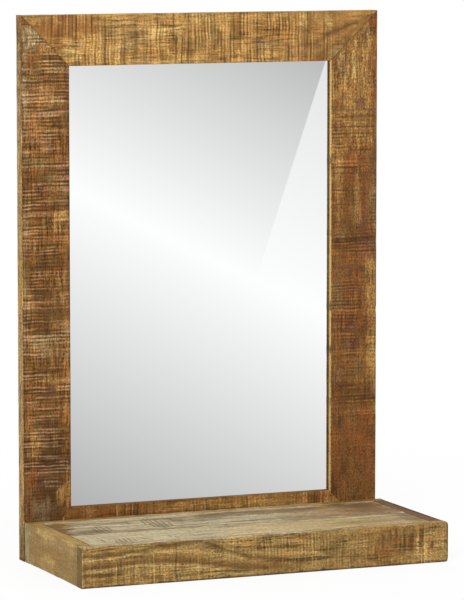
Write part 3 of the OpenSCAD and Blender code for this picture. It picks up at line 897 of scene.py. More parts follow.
RIGHT_STILE_STAINS = (
    ("honey", 601, 34, 84, 31, 0.62), ("straw", 663, 14, 21, 4, 0.35), ("straw", 640, 33, 29, 4, 0.35),
    ("slate", 635, 52, 21, 8, 0.3), ("umber", 638, 41, 4, 4, 0.5), ("moss", 619, 48, 11, 3, 0.5),
    ("rust", 612, 6, 56, 4, 0.55), ("rust", 605, 37, 8, 8, 0.4), ("plum", 583, 24, 8, 7, 0.7),
    ("umber", 566, 29, 3, 26, 0.5), ("rust", 584, 60, 7, 4, 0.6), ("honey", 494, 57, 69, 7, 0.45),
    ("amber", 538, 13, 21, 10, 0.4), ("rust", 512, 38, 21, 12, 0.6), ("umber", 494, 34, 7, 7, 0.6),
    ("honey", 453, 28, 43, 5, 0.4), ("rust", 497, 18, 33, 7, 0.6), ("moss", 451, 8, 25, 6, 0.55),
    ("plum", 427, 18, 25, 7, 0.6), ("umber", 437, 62, 17, 5, 0.45), ("moss", 411, 52, 9, 7, 0.4),
    ("umber", 400, 35, 3, 34, 0.7), ("plum", 393, 15, 15, 10, 0.8), ("umber", 392, 37, 11, 10, 0.5),
    ("slate", 395, 10, 3, 7, 0.5), ("rust", 378, 37, 6, 10, 0.5), ("plum", 365, 57, 4, 9, 0.75),
    ("plum", 363, 39, 5, 6, 0.6), ("umber", 362, 20, 5, 9, 0.8), ("honey", 364, 9, 19, 7, 0.5),
    ("honey", 323, 10, 25, 8, 0.6), ("rust", 349, 26, 11, 9, 0.6), ("moss", 330, 56, 28, 11, 0.3),
    ("rust", 325, 35, 13, 9, 0.7), ("rust", 297, 30, 20, 16, 0.45), ("plum", 283, 39, 7, 12, 0.75),
    ("plum", 264, 36, 8, 10, 0.5), ("honey", 250, 8, 43, 6, 0.6), ("rust", 243, 60, 25, 3, 0.5),
    ("slate", 221, 53, 12, 9, 0.25), ("rust", 139, 25, 48, 22, 0.5), ("umber", 157, 54, 11, 7, 0.8),
    ("rust", 134, 61, 17, 4, 0.8), ("umber", 97, 49, 10, 4, 0.6), ("umber", 85, 62, 11, 4, 0.4),
    ("ink", 68, 61, 7, 4, 0.65), ("moss", 65, 37, 8, 11, 0.2), ("honey", 263, 4, 133, 3, 0.35),
    # The ink at u 308 darkens the chipped notch in the outer edge.
    ("ink", 308, 0.5, 8, 2.5, 0.9),
)
RIGHT_STILE_LINES = (
    (566, 30, 30, -0.8), (562, 34, 28, -0.7), (499, 32, 28, -0.7), (462, 24, 20, -0.6), (402, 36, 40, -1.0),
    (391, 56, 14, -0.7), (369, 40, 20, 0.9), (208, 30, 32, -0.7), (204, 26, 30, -0.6), (200, 34, 34, -0.7),
    (196, 26, 30, -0.6), (192, 34, 34, -0.7), (188, 26, 34, -0.7), (184, 34, 34, -0.8), (180, 26, 30, -0.6),
    (176, 24, 26, -0.6), (154, 24, 30, 0.6),
)


def right_stile():
    return wood(
        "right_stile", "ZXY", (1, -1, 1), "frame_mango",
        tones=("rust", "brown", "chestnut"), edge="straw", mark="amber", saw=0.75, rough=0.65, streak=0.55,
        warm=0.4, cool=0.2, stains=RIGHT_STILE_STAINS,
        veins=(
            ("straw", 2.0, 0.25, ((683, 16), (669, 29), (653, 33), (610, 33))),
            ("straw", 1.5, 0.25, ((679, 13), (642, 14))),
        ),
        lines=RIGHT_STILE_LINES, smooth=((110, 60, 0.7), (620, 50, 0.75)),
        chips=((307, 0, 0, 9, 3.5, 0.8), (84, 0, 20, 10, 4, 1.0)),
        # The ink line at w 6 on the lip's side is painted shade where the lip meets the glass.
        sides={"high": (("moss", 360, 3, 400, 6, 0.8), ("ink", 360, 6, 400, 1.5, 0.9))},
        worn=((0, 0, 2.5, 0.4, 0.2), (1, 0, 2.7, 1.0, 1.2), (0, 1, 3, 0.4, 0.3)),
    )


TOP_RAIL_STAINS = (
    ("chestnut", 420, 34, 130, 60, 0.6), ("tan", 130, 34, 130, 50, 0.3), ("rust", 45, 18, 40, 20, 0.85),
    ("rust", 88, 18, 22, 14, 0.8), ("straw", 71, 47, 19, 14, 0.4), ("moss", 62, 50, 8, 7, 0.35),
    ("umber", 72, 63, 10, 4, 0.6), ("amber", 89, 41, 5, 13, 0.45), ("umber", 112, 65, 14, 3, 0.5),
    ("slate", 140, 26, 33, 18, 0.35), ("umber", 161, 31, 10, 10, 0.45), ("umber", 182, 10, 8, 6, 0.4),
    ("straw", 197, 24, 27, 10, 0.4), ("amber", 187, 52, 12, 11, 0.7), ("amber", 209, 37, 11, 8, 0.5),
    ("umber", 213, 36, 4, 4, 0.6), ("umber", 228, 45, 8, 19, 0.4), ("umber", 245, 35, 10, 14, 0.5),
    ("moss", 263, 25, 5, 16, 0.4), ("umber", 273, 32, 6, 12, 0.6), ("rust", 296, 24, 24, 15, 0.3),
    ("slate", 336, 41, 8, 7, 0.55), ("slate", 354, 41, 9, 5, 0.45), ("umber", 354, 24, 6, 6, 0.5),
    ("amber", 372, 36, 12, 12, 0.3), ("straw", 392, 13, 7, 9, 0.5), ("plum", 403, 46, 19, 11, 0.45),
    ("plum", 435, 26, 12, 6, 0.6), ("straw", 429, 14, 6, 9, 0.5), ("amber", 454, 11, 17, 6, 0.4),
    ("amber", 456, 29, 12, 5, 0.5), ("umber", 460, 40, 9, 7, 0.7), ("moss", 440, 53, 12, 7, 0.55),
    ("amber", 322, 64, 67, 4, 0.55), ("rust", 410, 64, 28, 6, 0.9), ("umber", 454, 21, 4, 5, 0.6),
    ("moss", 330, 0, 170, 2, 0.6), ("umber", 250, 67, 300, 1.3, 0.6),
)
TOP_RAIL_VEINS = (
    ("brown", 3.2, 0.9, ((407, 43), (433, 29), (455, 20), (492, 7))),
    ("brown", 2.6, 0.85, ((419, 54), (440, 44), (455, 33), (471, 23), (483, 14))),
    ("umber", 1.6, 0.9, ((426, 31), (446, 24), (470, 16))),
    ("straw", 3.5, 0.4, ((110, 50), (180, 28), (258, 6))),
)
TOP_RAIL_LINES = (
    (64, 12, 12, 0.8), (128, 36, 24, -0.8), (139, 38, 28, -0.9), (158, 34, 30, -1.0), (164, 44, 20, 0.6),
    (166, 34, 14, -0.7), (178, 30, 26, -0.7), (202, 28, 26, 0.4), (224, 42, 22, -0.9), (228, 46, 20, -0.8),
    (233, 46, 20, -0.9), (239, 30, 18, -0.8), (244, 36, 16, -0.9), (249, 36, 16, -0.7), (256, 34, 34, 1.0),
    (271, 34, 14, -1.0), (275, 34, 12, -0.8), (304, 34, 26, -0.8), (321, 34, 16, -0.6), (340, 32, 30, 0.7),
    (351, 26, 12, -0.7), (357, 32, 18, -0.8), (366, 38, 24, 0.5), (382, 22, 18, -0.8), (386, 34, 24, -0.5),
    (394, 34, 24, -0.7), (402, 28, 26, -0.6), (411, 34, 24, -0.7), (422, 18, 16, -0.8),
)


def top_rail():
    return wood(
        "top_rail", "XZY", (1, -1, 1), "frame_mango",
        tones=("tan", "honey", "honey"), warm=0.35, dark=0.3, vein=0.4, streak=0.8, stains=TOP_RAIL_STAINS,
        veins=TOP_RAIL_VEINS, lines=TOP_RAIL_LINES, smooth=((465, 25, 0.8),),
        worn=((0, 0, 2.5, 0.3, 0.2), (1, 0, 2.5, 0.3, 0.2), (0, 1, 3, 0.4, 0.3)),
    )


BOTTOM_RAIL_STAINS = (
    ("rust", 100, 56, 37, 8, 0.6), ("honey", 300, 57, 130, 14, 0.35), ("honey", 94, 58, 7, 6, 0.4),
    ("umber", 162, 57, 28, 7, 0.35), ("honey", 227, 57, 37, 7, 0.4), ("honey", 319, 56, 41, 5, 0.5),
    ("rust", 294, 49, 41, 3, 0.4), ("rust", 413, 59, 23, 4, 0.4), ("umber", 240, 67, 150, 1.5, 0.5),
    ("umber", 200, 53, 220, 2.0, 0.6),
)


def bottom_rail():
    return wood(
        "bottom_rail", "XZY", (1, 1, 1), "frame_mango",
        tones=("rust", "chestnut", "tan"), saw=0.8, stains=BOTTOM_RAIL_STAINS,
        worn=((1, 0, 2.5, 0.3, 0.2), (0, 1, 3, 0.4, 0.3)),
    )


class MIRROR_OT_frame(bpy.types.Operator):
    """Builds the four mitred boards of the frame"""

    bl_idname = "mirror_shelf.frame"
    bl_label = "Frame Boards"

    def execute(self, context):
        settings = context.scene.mirror_shelf
        p = PLACES
        low_left = (corner(p.left, 0), corner(p.opening_left, p.opening_bottom))
        low_right = (corner(p.right, 0), corner(p.opening_right, p.opening_bottom))
        high_left = (corner(p.left, p.height), corner(p.opening_left, p.opening_top))
        high_right = (corner(p.right, p.height), corner(p.opening_right, p.opening_top))
        made = (
            (left_stile(), (low_left, high_left)), (right_stile(), (low_right, high_right)),
            (top_rail(), (high_left, high_right)), (bottom_rail(), (low_left, low_right)),
        )
        for index, (piece, mitres) in enumerate(made):
            piece.mitres = mitres
            bm = frame_board(piece, settings.boards, settings.seed + SEED_STEP * index)
            dress_board(piece, bm, "_board", index, FRAME_WOOD_STEPS)
        return {"FINISHED"}


# ---- Shelf ----


def chatter(*marks):
    """Thin dark marks across the grain that a planer left, each (u, v, u, v)."""
    return tuple(("umber", 1.0, 1.0, (mark[:2], mark[2:])) for mark in marks)


# The ink lines along the right arris at u 504.6 and the bottom arris at v 0.6 are painted shade.
SHELF_FRONT_BOARD_STAINS_AND_SHADE = (
    ("chestnut", 440, 26, 110, 44, 0.5), ("straw", 478, 18, 30, 24, 0.22), ("straw", 0.4, 26, 1.2, 40, 0.35),
    ("ink", 504.6, 26, 1.7, 50, 1.0), ("ink", 260, 0.6, 400, 2.2, 1.0), ("umber", 110, 51.5, 90, 1.5, 0.5),
    ("umber", 64, 41, 11, 4, 0.65), ("umber", 34, 45, 8, 4, 0.45), ("rust", 133, 28, 30, 6, 0.5),
    ("amber", 121, 46, 12, 4, 0.4), ("amber", 152, 35, 19, 5, 0.5), ("umber", 180, 43, 15, 6, 0.4),
    ("umber", 236, 39, 11, 6, 0.45), ("rust", 239, 24, 16, 4, 0.5), ("umber", 300, 48, 23, 3, 0.9),
    ("amber", 296, 44, 14, 3, 0.6), ("rust", 300, 34, 21, 5, 0.4), ("umber", 339, 26, 14, 9, 0.55),
    ("slate", 370, 29, 14, 5, 0.4), ("umber", 370, 15, 6, 11, 0.5), ("amber", 414, 27, 16, 4, 0.7),
    ("rust", 416, 18, 17, 4, 0.6), ("rust", 424, 28, 40, 14, 0.25), ("rust", 452, 28, 26, 15, 0.3),
    ("brown", 402, 22, 1.8, 10, 0.7), ("brown", 412, 33, 2.0, 10, 0.8), ("brown", 422, 38, 2.0, 9, 0.85),
    ("brown", 430, 36, 2.6, 12, 0.95), ("brown", 436, 27, 2.0, 12, 0.8), ("brown", 443, 26, 2.0, 12, 0.85),
    ("brown", 452, 28, 3.4, 14, 1.0), ("straw", 461, 24, 2.0, 18, 0.45), ("brown", 467, 33, 3.0, 13, 0.95),
    ("straw", 473, 18, 3.0, 18, 0.5), ("brown", 482, 24, 3, 5, 1.0), ("olive", 498, 18, 5, 17, 0.4),
    ("umber", 369, 45, 2, 5, 0.6),
)
SHELF_FRONT_BOARD_VEINS = (
    ("umber", 2.4, 1.0, ((2, 41), (26, 39), (59, 42), (76, 42), (92, 46), (113, 47), (160, 51))),
    (
        "brown", 4.6, 1.0,
        ((3, 27), (34, 28), (85, 31), (109, 31), (142, 28), (201, 18), (252, 12), (296, 10)),
    ),
    ("umber", 1.8, 0.9, ((3, 24), (34, 25), (85, 28), (109, 28), (142, 25), (201, 15), (252, 9))),
    ("brown", 2.6, 1.0, ((3, 15), (26, 16), (47, 18), (67, 21))),
    ("brown", 2.0, 0.8, ((3, 8), (36, 7), (80, 9), (120, 6))),
    ("umber", 2.2, 0.95, ((167, 47), (193, 37), (226, 26), (254, 22), (300, 17))),
    ("straw", 2.0, 0.6, ((5, 36), (40, 35), (59, 39), (79, 41))),
    ("straw", 2.0, 0.5, ((5, 21), (40, 22), (80, 25), (130, 22), (190, 11))),
    ("straw", 1.8, 0.45, ((100, 41), (140, 40), (176, 34), (215, 24))),
    ("umber", 1.2, 0.6, ((391, 12), (416, 6), (430, 5))),
)
SHELF_FRONT_BOARD_LINES = (
    (96, 26, 26, 0.6), (126, 30, 22, -0.8), (140, 26, 26, 0.5), (391, 26, 16, -0.5), (402, 22, 12, -0.9),
    (406, 30, 9, -0.7), (412, 32, 13, -1.0), (417, 28, 10, -0.7), (422, 36, 12, -1.0), (426, 26, 10, -0.7),
    (430, 34, 15, -1.0), (436, 27, 14, -0.9), (440, 22, 12, -0.8), (443, 26, 14, -1.0), (448, 24, 12, -0.7),
    (453, 28, 15, -1.0), (458, 30, 12, -0.6), (467, 32, 16, -1.0), (473, 18, 14, 0.7), (482, 24, 8, -0.9),
)


def shelf_front():
    return wood(
        "shelf_front_board", "XZY", (1, 1, 1), "shelf_mango",
        tones=("olive", "olive", "honey"), edge="blush", end="hazel", saw=0.5, rough=0.66, streak=0.75,
        vein=0.75, warm=0.35, cool=0.3, stains=SHELF_FRONT_BOARD_STAINS_AND_SHADE, veins=SHELF_FRONT_BOARD_VEINS,
        lines=SHELF_FRONT_BOARD_LINES,
        chips=(
            (300, 52, 0, 26, 3.5, 1.3), (505, 52, 0, 4, 4, 0.9), (505, 0, 0, 5, 5, 1.2),
            (0, 52, 0, 4, 5, 1.0),
        ),
        sides={
            "high": (
                ("cream", 200, 9, 260, 12, 0.8), ("honey", 440, 9, 90, 12, 0.6),
                ("umber", 110, 0.8, 90, 2, 0.6), ("umber", 300, 1, 50, 2.5, 0.7),
            ),
        },
        worn=((1, 0, 3, 0.35, 0.1), (0, 1, 3, 0.4, 0.3)),
    )


def shelf_back():
    return wood(
        "shelf_back_board", "XYZ", (1, -1, -1), "shelf_mango",
        tones=("olive", "olive", "straw"), end="sage", saw=0.15, warm=0.15,
        stains=(
            ("cream", 260, 8, 180, 10, 0.4), ("tan", 80, 8, 110, 10, 0.5), ("brown", 470, 8, 50, 10, 0.6),
        ),
    )


def shelf_left_end():
    return wood(
        "shelf_left_end", "YZX", (1, 1, 1), "shelf_mango",
        tones=("olive", "olive", "straw"), edge="straw", end="olive", saw=0.2, warm=0.2, cool=0.0, dark=0.1,
        vein=0.0, streak=0.25, rough=0.45,
        stains=(("tan", 95, 26, 70, 16, 0.35), ("blush", 60, 42, 50, 6, 0.15), ("moss", 6, 26, 8, 30, 0.35)),
        sides={
            "high": (
                ("straw", 88, 9, 110, 12, 0.45), ("tan", 88, 6, 110, 1.0, 0.6),
                ("tan", 88, 11, 110, 1.0, 0.6),
            ),
        },
    )


def shelf_right_end():
    return wood(
        "shelf_right_end", "YZX", (1, 1, -1), "shelf_mango",
        tones=("brown", "chestnut", "tan"), saw=0.3, warm=0.2, end="chestnut",
        sides={
            "high": (
                ("umber", 88, 11, 130, 9, 0.45), ("brown", 140, 12, 50, 8, 0.5),
                # The umber and ink lines at w 1 and 0.6 darken the top's outer arris.
                ("umber", 88, 1, 130, 6.0, 1.0), ("ink", 88, 0.6, 130, 4.0, 1.0),
            ),
        },
        worn=((0, 0, 3, 0.4, 0.3), (0, 1, 3, 0.4, 0.3)),
    )


SHELF_REAR_PLANK_STAINS = (
    ("chestnut", 8, 82, 28, 24, 1.0), ("chestnut", 4, 54, 18, 26, 1.0), ("brown", 0, 26, 10, 28, 0.9),
    ("bark", 456, 50, 24, 60, 0.7), ("slate", 33, 22, 26, 14, 0.55), ("slate", 100, 6, 120, 9, 0.8),
    ("slate", 102, 60, 16, 5, 0.5), ("bark", 139, 32, 10, 14, 0.4), ("bark", 168, 60, 12, 12, 0.45),
    ("bark", 220, 66, 30, 20, 0.5), ("bark", 232, 80, 34, 8, 0.45), ("slate", 300, 72, 90, 14, 0.8),
    ("bark", 372, 79, 40, 11, 0.65), ("tan", 400, 48, 100, 60, 0.7), ("brown", 434, 80, 36, 24, 0.85),
    ("brown", 445, 36, 50, 44, 0.6), ("umber", 469, 50, 2.2, 60, 0.9), ("cream", 150, 98, 140, 7, 0.7),
    ("cream", 280, 46, 90, 14, 0.5),
)
SHELF_REAR_PLANK_VEINS = (
    ("umber", 4.0, 0.35, ((205, 76), (254, 80), (366, 78), (420, 82), (459, 83))),
    *chatter(
        (46, 40, 44, 10), (53, 51, 50, 7), (59, 52, 57, 4), (66, 48, 64, 18), (102, 70, 101, 56),
        (126, 78, 121, 48), (132, 86, 125, 24), (138, 87, 130, 20), (143, 74, 135, 12), (149, 66, 141, 16),
        (155, 56, 149, 24), (164, 72, 163, 52), (170, 60, 170, 36), (177, 68, 177, 50),
    ),
)


def shelf_rear_plank():
    return wood(
        "shelf_rear_plank", "XYZ", (1, 1, -1), "pale_mango",
        tones=("slate", "cream", "cream"), edge="slate", end="chestnut", grain=0.5, saw=0.15, vein=0.5,
        warm=0.1, cool=0.35, dark=0.2, rough=0.5, streak=0.85, stains=SHELF_REAR_PLANK_STAINS,
        veins=SHELF_REAR_PLANK_VEINS,
    )


SHELF_FRONT_PLANK_STAINS = (
    ("tan", 0, 30, 8, 50, 0.35), ("slate", 35, 14, 26, 20, 0.3), ("cream", 130, 40, 160, 54, 0.85),
    ("cream", 110, 68, 150, 6, 0.9), ("blush", 40, 50, 30, 14, 0.35), ("moss", 327, 36, 60, 52, 0.2),
    ("straw", 330, 34, 150, 56, 0.55), ("olive", 420, 26, 80, 30, 0.6), ("straw", 343, 62, 24, 5, 0.8),
    ("umber", 352, 56, 9, 4, 0.5), ("brown", 460, 36, 18, 60, 0.7), ("umber", 469, 36, 2.2, 60, 0.9),
)
SHELF_FRONT_PLANK_VEINS = chatter(
    (26, 30, 25, 14), (40, 16, 38, 3), (49, 29, 45, 3), (55, 28, 51, 4), (60, 27, 58, 2), (66, 22, 65, 10),
    (78, 28, 80, 15), (84, 22, 86, 8), (116, 27, 116, 14), (122, 19, 122, 7),
)


def shelf_front_plank():
    return wood(
        "shelf_front_plank", "XYZ", (1, 1, -1), "pale_mango",
        tones=("slate", "cream", "cream"), edge="straw", end="chestnut", grain=0.5, saw=0.12, vein=0.5,
        warm=0.05, cool=0.25, dark=0.05, rough=0.5, streak=0.7, stains=SHELF_FRONT_PLANK_STAINS,
        veins=SHELF_FRONT_PLANK_VEINS,
    )


class MIRROR_OT_shelf(bpy.types.Operator):
    """Builds the four outer boards and the two top planks of the shelf"""

    bl_idname = "mirror_shelf.shelf"
    bl_label = "Shelf Boards"

    def execute(self, context):
        settings = context.scene.mirror_shelf
        makers = (
            shelf_front, shelf_back, shelf_left_end, shelf_right_end, shelf_rear_plank, shelf_front_plank
        )
        # The mirror reflects the card alone, so glossy rays pass all pieces of the shelf.
        for index, maker in enumerate(makers):
            piece = maker()
            bm = straight_board(piece, settings.boards, settings.seed + SHELF_SEED + SEED_STEP * index)
            made = dress_board(piece, bm, "_wood", index, SHELF_WOOD_STEPS, start=1)
            made.visible_glossy = False
        for name, node in frame["nodes"].items():
            if name.startswith(("shelf_", "bottom_board_")):
                node.visible_glossy = False
        return {"FINISHED"}


# ---- Glass ----


class MIRROR_OT_glass(bpy.types.Operator):
    """Builds the silvered glass with its ground edges"""

    bl_idname = "mirror_shelf.glass"
    bl_label = "Mirror Glass"

    def execute(self, context):
        bm = bmesh.new()
        box_between(bm, *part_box("mirror_glass"))
        bevel(bm, bm.edges[:], GLASS_ARRIS, segments=1)
        for face in bm.faces:
            face.material_index = 0 if face.normal.y < -0.9 else 1
        material, g = new_material("silvered_glass")
        g.surface(Base_Color=(0.945, 0.95, 0.95), Metallic=1.0, Roughness=0.0)
        ground, g = new_material("ground_glass_edge")
        g.surface(Base_Color=(0.30, 0.42, 0.36), Roughness=0.45)
        finish_piece("mirror_sheet", bm, [material, ground], "mirror_glass", smooth=False)
        return {"FINISHED"}


# ---- Carving in the backs ----


def upright_stadium(x, z, width, height, depth):
    """A closed shape with round ends that cuts this deep into the frame's back."""
    bm = bmesh.new()
    ring = bmesh.ops.create_circle(bm, cap_ends=True, segments=ROUND, radius=width / 2)["verts"]
    bmesh.ops.rotate(bm, verts=ring, matrix=Matrix.Rotation(math.pi / ROUND, 3, "Z"))
    bmesh.ops.rotate(bm, verts=ring, matrix=Matrix.Rotation(math.pi / 2, 3, "X"))
    for way in (1, -1):
        half = [v for v in ring if v.co.z * way > 0]
        bmesh.ops.translate(bm, vec=(0, 0, way * (height - width) / 2), verts=half)
    bmesh.ops.translate(bm, vec=(x, -depth, z), verts=ring)
    grown = bmesh.ops.extrude_face_region(bm, geom=bm.faces[:])
    moved = [g for g in grown["geom"] if isinstance(g, bmesh.types.BMVert)]
    bmesh.ops.translate(bm, vec=(0, depth + CUT_ROOM, 0), verts=moved)
    return bm


def cone_cutter(x, z, wide, narrow, depth):
    """A closed cone that widens towards the wall, for a countersunk head."""
    slope = (wide - narrow) / depth
    turned = Matrix.Translation((x, (CUT_ROOM - depth) / 2, z)) @ Matrix.Rotation(-math.pi / 2, 4, "X")
    bm = bmesh.new()
    bmesh.ops.create_cone(
        bm, cap_ends=True, segments=ROUND, radius1=narrow / 2, radius2=(wide + slope * CUT_ROOM) / 2,
        depth=depth + CUT_ROOM, matrix=turned,
    )
    return bm


def clear_new_tints(tints):
    """Takes the white that a cut gives its new points off them, so that they show bare wood."""
    colours = np.empty(4 * len(tints), dtype=np.float32)
    tints.foreach_get("color", colours)
    rows = colours.reshape(-1, 4)
    rows[rows.min(axis=1) >= 1] = 0
    tints.foreach_set("color", colours)


def carve(piece, cutter):
    """Cuts a closed shape out of a finished board."""
    bmesh.ops.recalc_face_normals(cutter, faces=cutter.faces)
    shape = mesh_from(cutter, "cutter")
    tool = add_object("cutter", shape)
    cut = piece.modifiers.new("carve", "BOOLEAN")
    cut.operation, cut.solver, cut.object = "DIFFERENCE", "MANIFOLD", tool
    carved = bpy.data.meshes.new_from_object(piece.evaluated_get(bpy.context.evaluated_depsgraph_get()))
    if len(carved.vertices) <= len(shape.vertices):
        raise RuntimeError("the cut in " + piece.name + " failed")
    carved.set_sharp_from_angle(angle=SHARP)
    clear_new_tints(carved.attributes["tint"].data)
    piece.modifiers.clear()
    plain = piece.data
    piece.data = carved
    carved.name = piece.name
    bpy.data.objects.remove(tool)
    bpy.data.meshes.remove(shape)
    bpy.data.meshes.remove(plain)


# ---- Hardware and hidden pieces ----


def cover(names, material):
    """Gives CAD pieces a finish."""
    for name in names:
        for slot in frame["nodes"][name].material_slots:
            slot.material = material


def zinc_plate():
    """Bright zinc plating with fine rubbing marks and a faint bloom."""
    material, g = new_material("zinc_plate")
    seen = g.place()
    bloom = g.noise(seen, 420, detail=4)
    rubbed = g.noise(g.stretched(seen, (2400, 900, 500)), detail=2)
    colour = g.blend(g.steps(bloom, 0.35, 0.7), shade(172, 174, 177), shade(154, 154, 148))
    sheen = g.steps(rubbed, 0.3, 0.7, 0.26, 0.46)
    g.surface(Base_Color=colour, Metallic=1.0, Roughness=sheen, Normal=g.bump(rubbed, 0.15, 0.0001))
    return material


def planed_wood(name, scales):
    """Bare planed softwood whose grain follows the smallest of the scales."""
    material, g = new_material(name)
    seen = g.place()
    bent = g.vector("ADD", seen, g.vector("MULTIPLY", g.noise(seen, 30, colour=True), (0.004, 0.004, 0.004)))
    rings = g.noise(g.stretched(bent, scales), detail=3)
    fine = g.noise(g.stretched(seen, tuple(6 * s for s in scales)), detail=2)
    colour = g.blend(g.steps(rings, 0.35, 0.65), shade(198, 168, 120), shade(172, 134, 86))
    colour = g.brighten(colour, g.steps(fine, 0.3, 0.7, 0.84, 1.12, soft=False))
    sheen = g.steps(fine, 0.3, 0.7, 0.55, 0.75)
    g.surface(Base_Color=colour, Roughness=sheen, Normal=g.bump(fine, 0.25, 0.0002), Specular_IOR_Level=0.25)
    return material


def fibreboard():
    """Smooth brown fibreboard with pressed-in fibres."""
    material, g = new_material("fibreboard")
    seen = g.place()
    chips = g.noise(seen, 1100, detail=3, roughness=0.7)
    clouds = g.noise(seen, 26, detail=5)
    specks = g.pattern(seen, (700, 700, 260), 0.62, 0.7, offset=(3, 1, 7), detail=1)
    colour = g.blend(g.steps(clouds, 0.3, 0.7), shade(130, 95, 62), shade(122, 87, 56))
    colour = g.brighten(colour, g.steps(chips, 0.25, 0.75, 0.75, 1.22, soft=False))
    colour = g.blend(g.times(specks, 0.5), colour, shade(78, 52, 32))
    sheen = g.steps(chips, 0.3, 0.7, 0.5, 0.68)
    g.surface(Base_Color=colour, Roughness=sheen, Normal=g.bump(chips, 0.3, 0.0002), Specular_IOR_Level=0.3)
    return material


def black_rubber():
    """Black rubber with a dusty bloom."""
    material, g = new_material("black_rubber")
    dust = g.noise(g.place(), 400, detail=3)
    colour = g.blend(g.steps(dust, 0.45, 0.75), shade(34, 33, 32), shade(66, 63, 60))
    sheen = g.steps(dust, 0.3, 0.7, 0.6, 0.85)
    g.surface(Base_Color=colour, Roughness=sheen, Normal=g.bump(dust, 0.3, 0.0002))
    return material


class MIRROR_OT_carving(bpy.types.Operator):
    """Cuts the hangers' seats and keyhole pockets and the screws' countersinks into the boards' backs"""

    bl_idname = "mirror_shelf.carving"
    bl_label = "Carving in the Backs"

    def execute(self, context):
        for side in ("left", "right"):
            board = bpy.data.objects[side + "_stile_board"]
            low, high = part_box(side + "_hanger")
            x, z = (low.x + high.x) / 2, (low.z + high.z) / 2
            width, height = high.x - low.x + 2 * FIT, high.z - low.z + 2 * FIT
            carve(board, upright_stadium(x, z, width, height, -low.y))
            carve(board, upright_stadium(x, z, POCKET_WIDTH, POCKET_HEIGHT, POCKET_DEPTH))
        rail = bpy.data.objects["bottom_rail_board"]
        low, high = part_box("shelf_screws")
        head = high.z - low.z
        for index in range(SHELF_SCREWS):
            share = index / (SHELF_SCREWS - 1)
            x = low.x + head / 2 + share * (high.x - low.x - head)
            carve(rail, cone_cutter(x, (low.z + high.z) / 2, head + 2 * FIT, SHANK_WIDTH, HEAD_DEPTH))
        return {"FINISHED"}


class MIRROR_OT_hardware(bpy.types.Operator):
    """Gives the hangers, turn buttons and screws their zinc plating"""

    bl_idname = "mirror_shelf.hardware"
    bl_label = "Hardware"

    def execute(self, context):
        names = [n for n in frame["nodes"] if n.endswith(("_hanger", "_button", "_screws"))]
        cover(names, zinc_plate())
        return {"FINISHED"}


class MIRROR_OT_backing(bpy.types.Operator):
    """Gives the back panel and the blocks under the glass their finish"""

    bl_idname = "mirror_shelf.backing"
    bl_label = "Back Panel and Glass Blocks"

    def execute(self, context):
        cover(["back_panel"], fibreboard())
        cover(["glass_blocks"], black_rubber())
        return {"FINISHED"}


class MIRROR_OT_joinery(bpy.types.Operator):
    """Gives the shelf's bottom board, its blocks and rib and all dowels their bare wood"""

    bl_idname = "mirror_shelf.joinery"
    bl_label = "Joinery"

    def execute(self, context):
        cover(["shelf_bottom_board", "mitre_dowels"], planed_wood("planed_along_x", (14, 260, 260)))
        cover(["shelf_rib", "shelf_dowels"], planed_wood("planed_along_y", (260, 14, 260)))
        cover(["shelf_corner_blocks"], planed_wood("planed_along_z", (260, 260, 14)))
        return {"FINISHED"}


# ---- Studio ----


def make_camera(studio):
    data = bpy.data.cameras.new("camera")
    data.lens = studio.lens
    data.clip_start, data.clip_end = 0.1, 100
    camera = add_object("camera", data)
    camera.location = studio.eye
    camera.rotation_euler = (math.pi / 2 - studio.pitch, 0, -studio.yaw)
    bpy.context.scene.camera = camera


def make_lamp(name, place, size, power):
    """A round lamp that points at the mirror's middle, and that nothing reflects."""
    data = bpy.data.lights.new(name, "AREA")
    data.shape, data.size, data.energy = "DISK", size, power
    lamp = add_object(name, data)
    lamp.location = place
    lamp.rotation_euler = (Vector(LAMP_TARGET) - Vector(place)).to_track_quat("-Z", "Y").to_euler()
    lamp.visible_glossy = False


def make_world(studio):
    """White to look at and in reflections, and a weaker light for the rest."""
    world = bpy.data.worlds.new("studio")
    world.use_nodes = True
    g = Graph(world.node_tree)
    seen = g.add("ShaderNodeLightPath").outputs
    direct = g.math("MAXIMUM", seen["Is Glossy Ray"], seen["Is Transmission Ray"])
    direct = g.math("MAXIMUM", seen["Is Camera Ray"], direct)
    light = g.add("ShaderNodeBackground", {"Color": (1, 1, 1), "Strength": studio.sky}).outputs[0]
    white = g.add("ShaderNodeBackground", {"Color": (1, 1, 1), "Strength": 1.0}).outputs[0]
    both = g.add("ShaderNodeMixShader", {0: direct, 1: light, 2: white}).outputs[0]
    g.add("ShaderNodeOutputWorld", {"Surface": both})
    bpy.context.scene.world = world


def stage_plane(name, width, height, material):
    """A level sheet of the stage, its middle at the origin."""
    bm = bmesh.new()
    made = bmesh.ops.create_grid(bm, x_segments=1, y_segments=1, size=0.5)
    bmesh.ops.scale(bm, vec=(width, height, 1), verts=made["verts"])
    mesh = mesh_from(bm, name)
    mesh.materials.append(material)
    plane = add_object(name, mesh)
    return plane


def make_floor():
    """A pale floor that goes over into the white background, and keeps the mirror's shadow."""
    material, g = new_material("pale_floor")
    matt = g.add("ShaderNodeBsdfDiffuse", {"Color": (0.86, 0.86, 0.86)}).outputs[0]
    white = g.add("ShaderNodeEmission", {"Color": (1, 1, 1), "Strength": 1.0}).outputs[0]
    seen = g.add("ShaderNodeLightPath").outputs["Is Camera Ray"]
    share = g.steps(g.vector("LENGTH", g.place()), 0.25, 1.3, 0.9, 1.0)
    mixed = g.add("ShaderNodeMixShader", {0: g.times(seen, share), 1: matt, 2: white}).outputs[0]
    g.add("ShaderNodeOutputMaterial", {"Surface": mixed})
    floor = stage_plane("floor", FLOOR_SIZE, FLOOR_SIZE, material)
    floor.visible_glossy = False


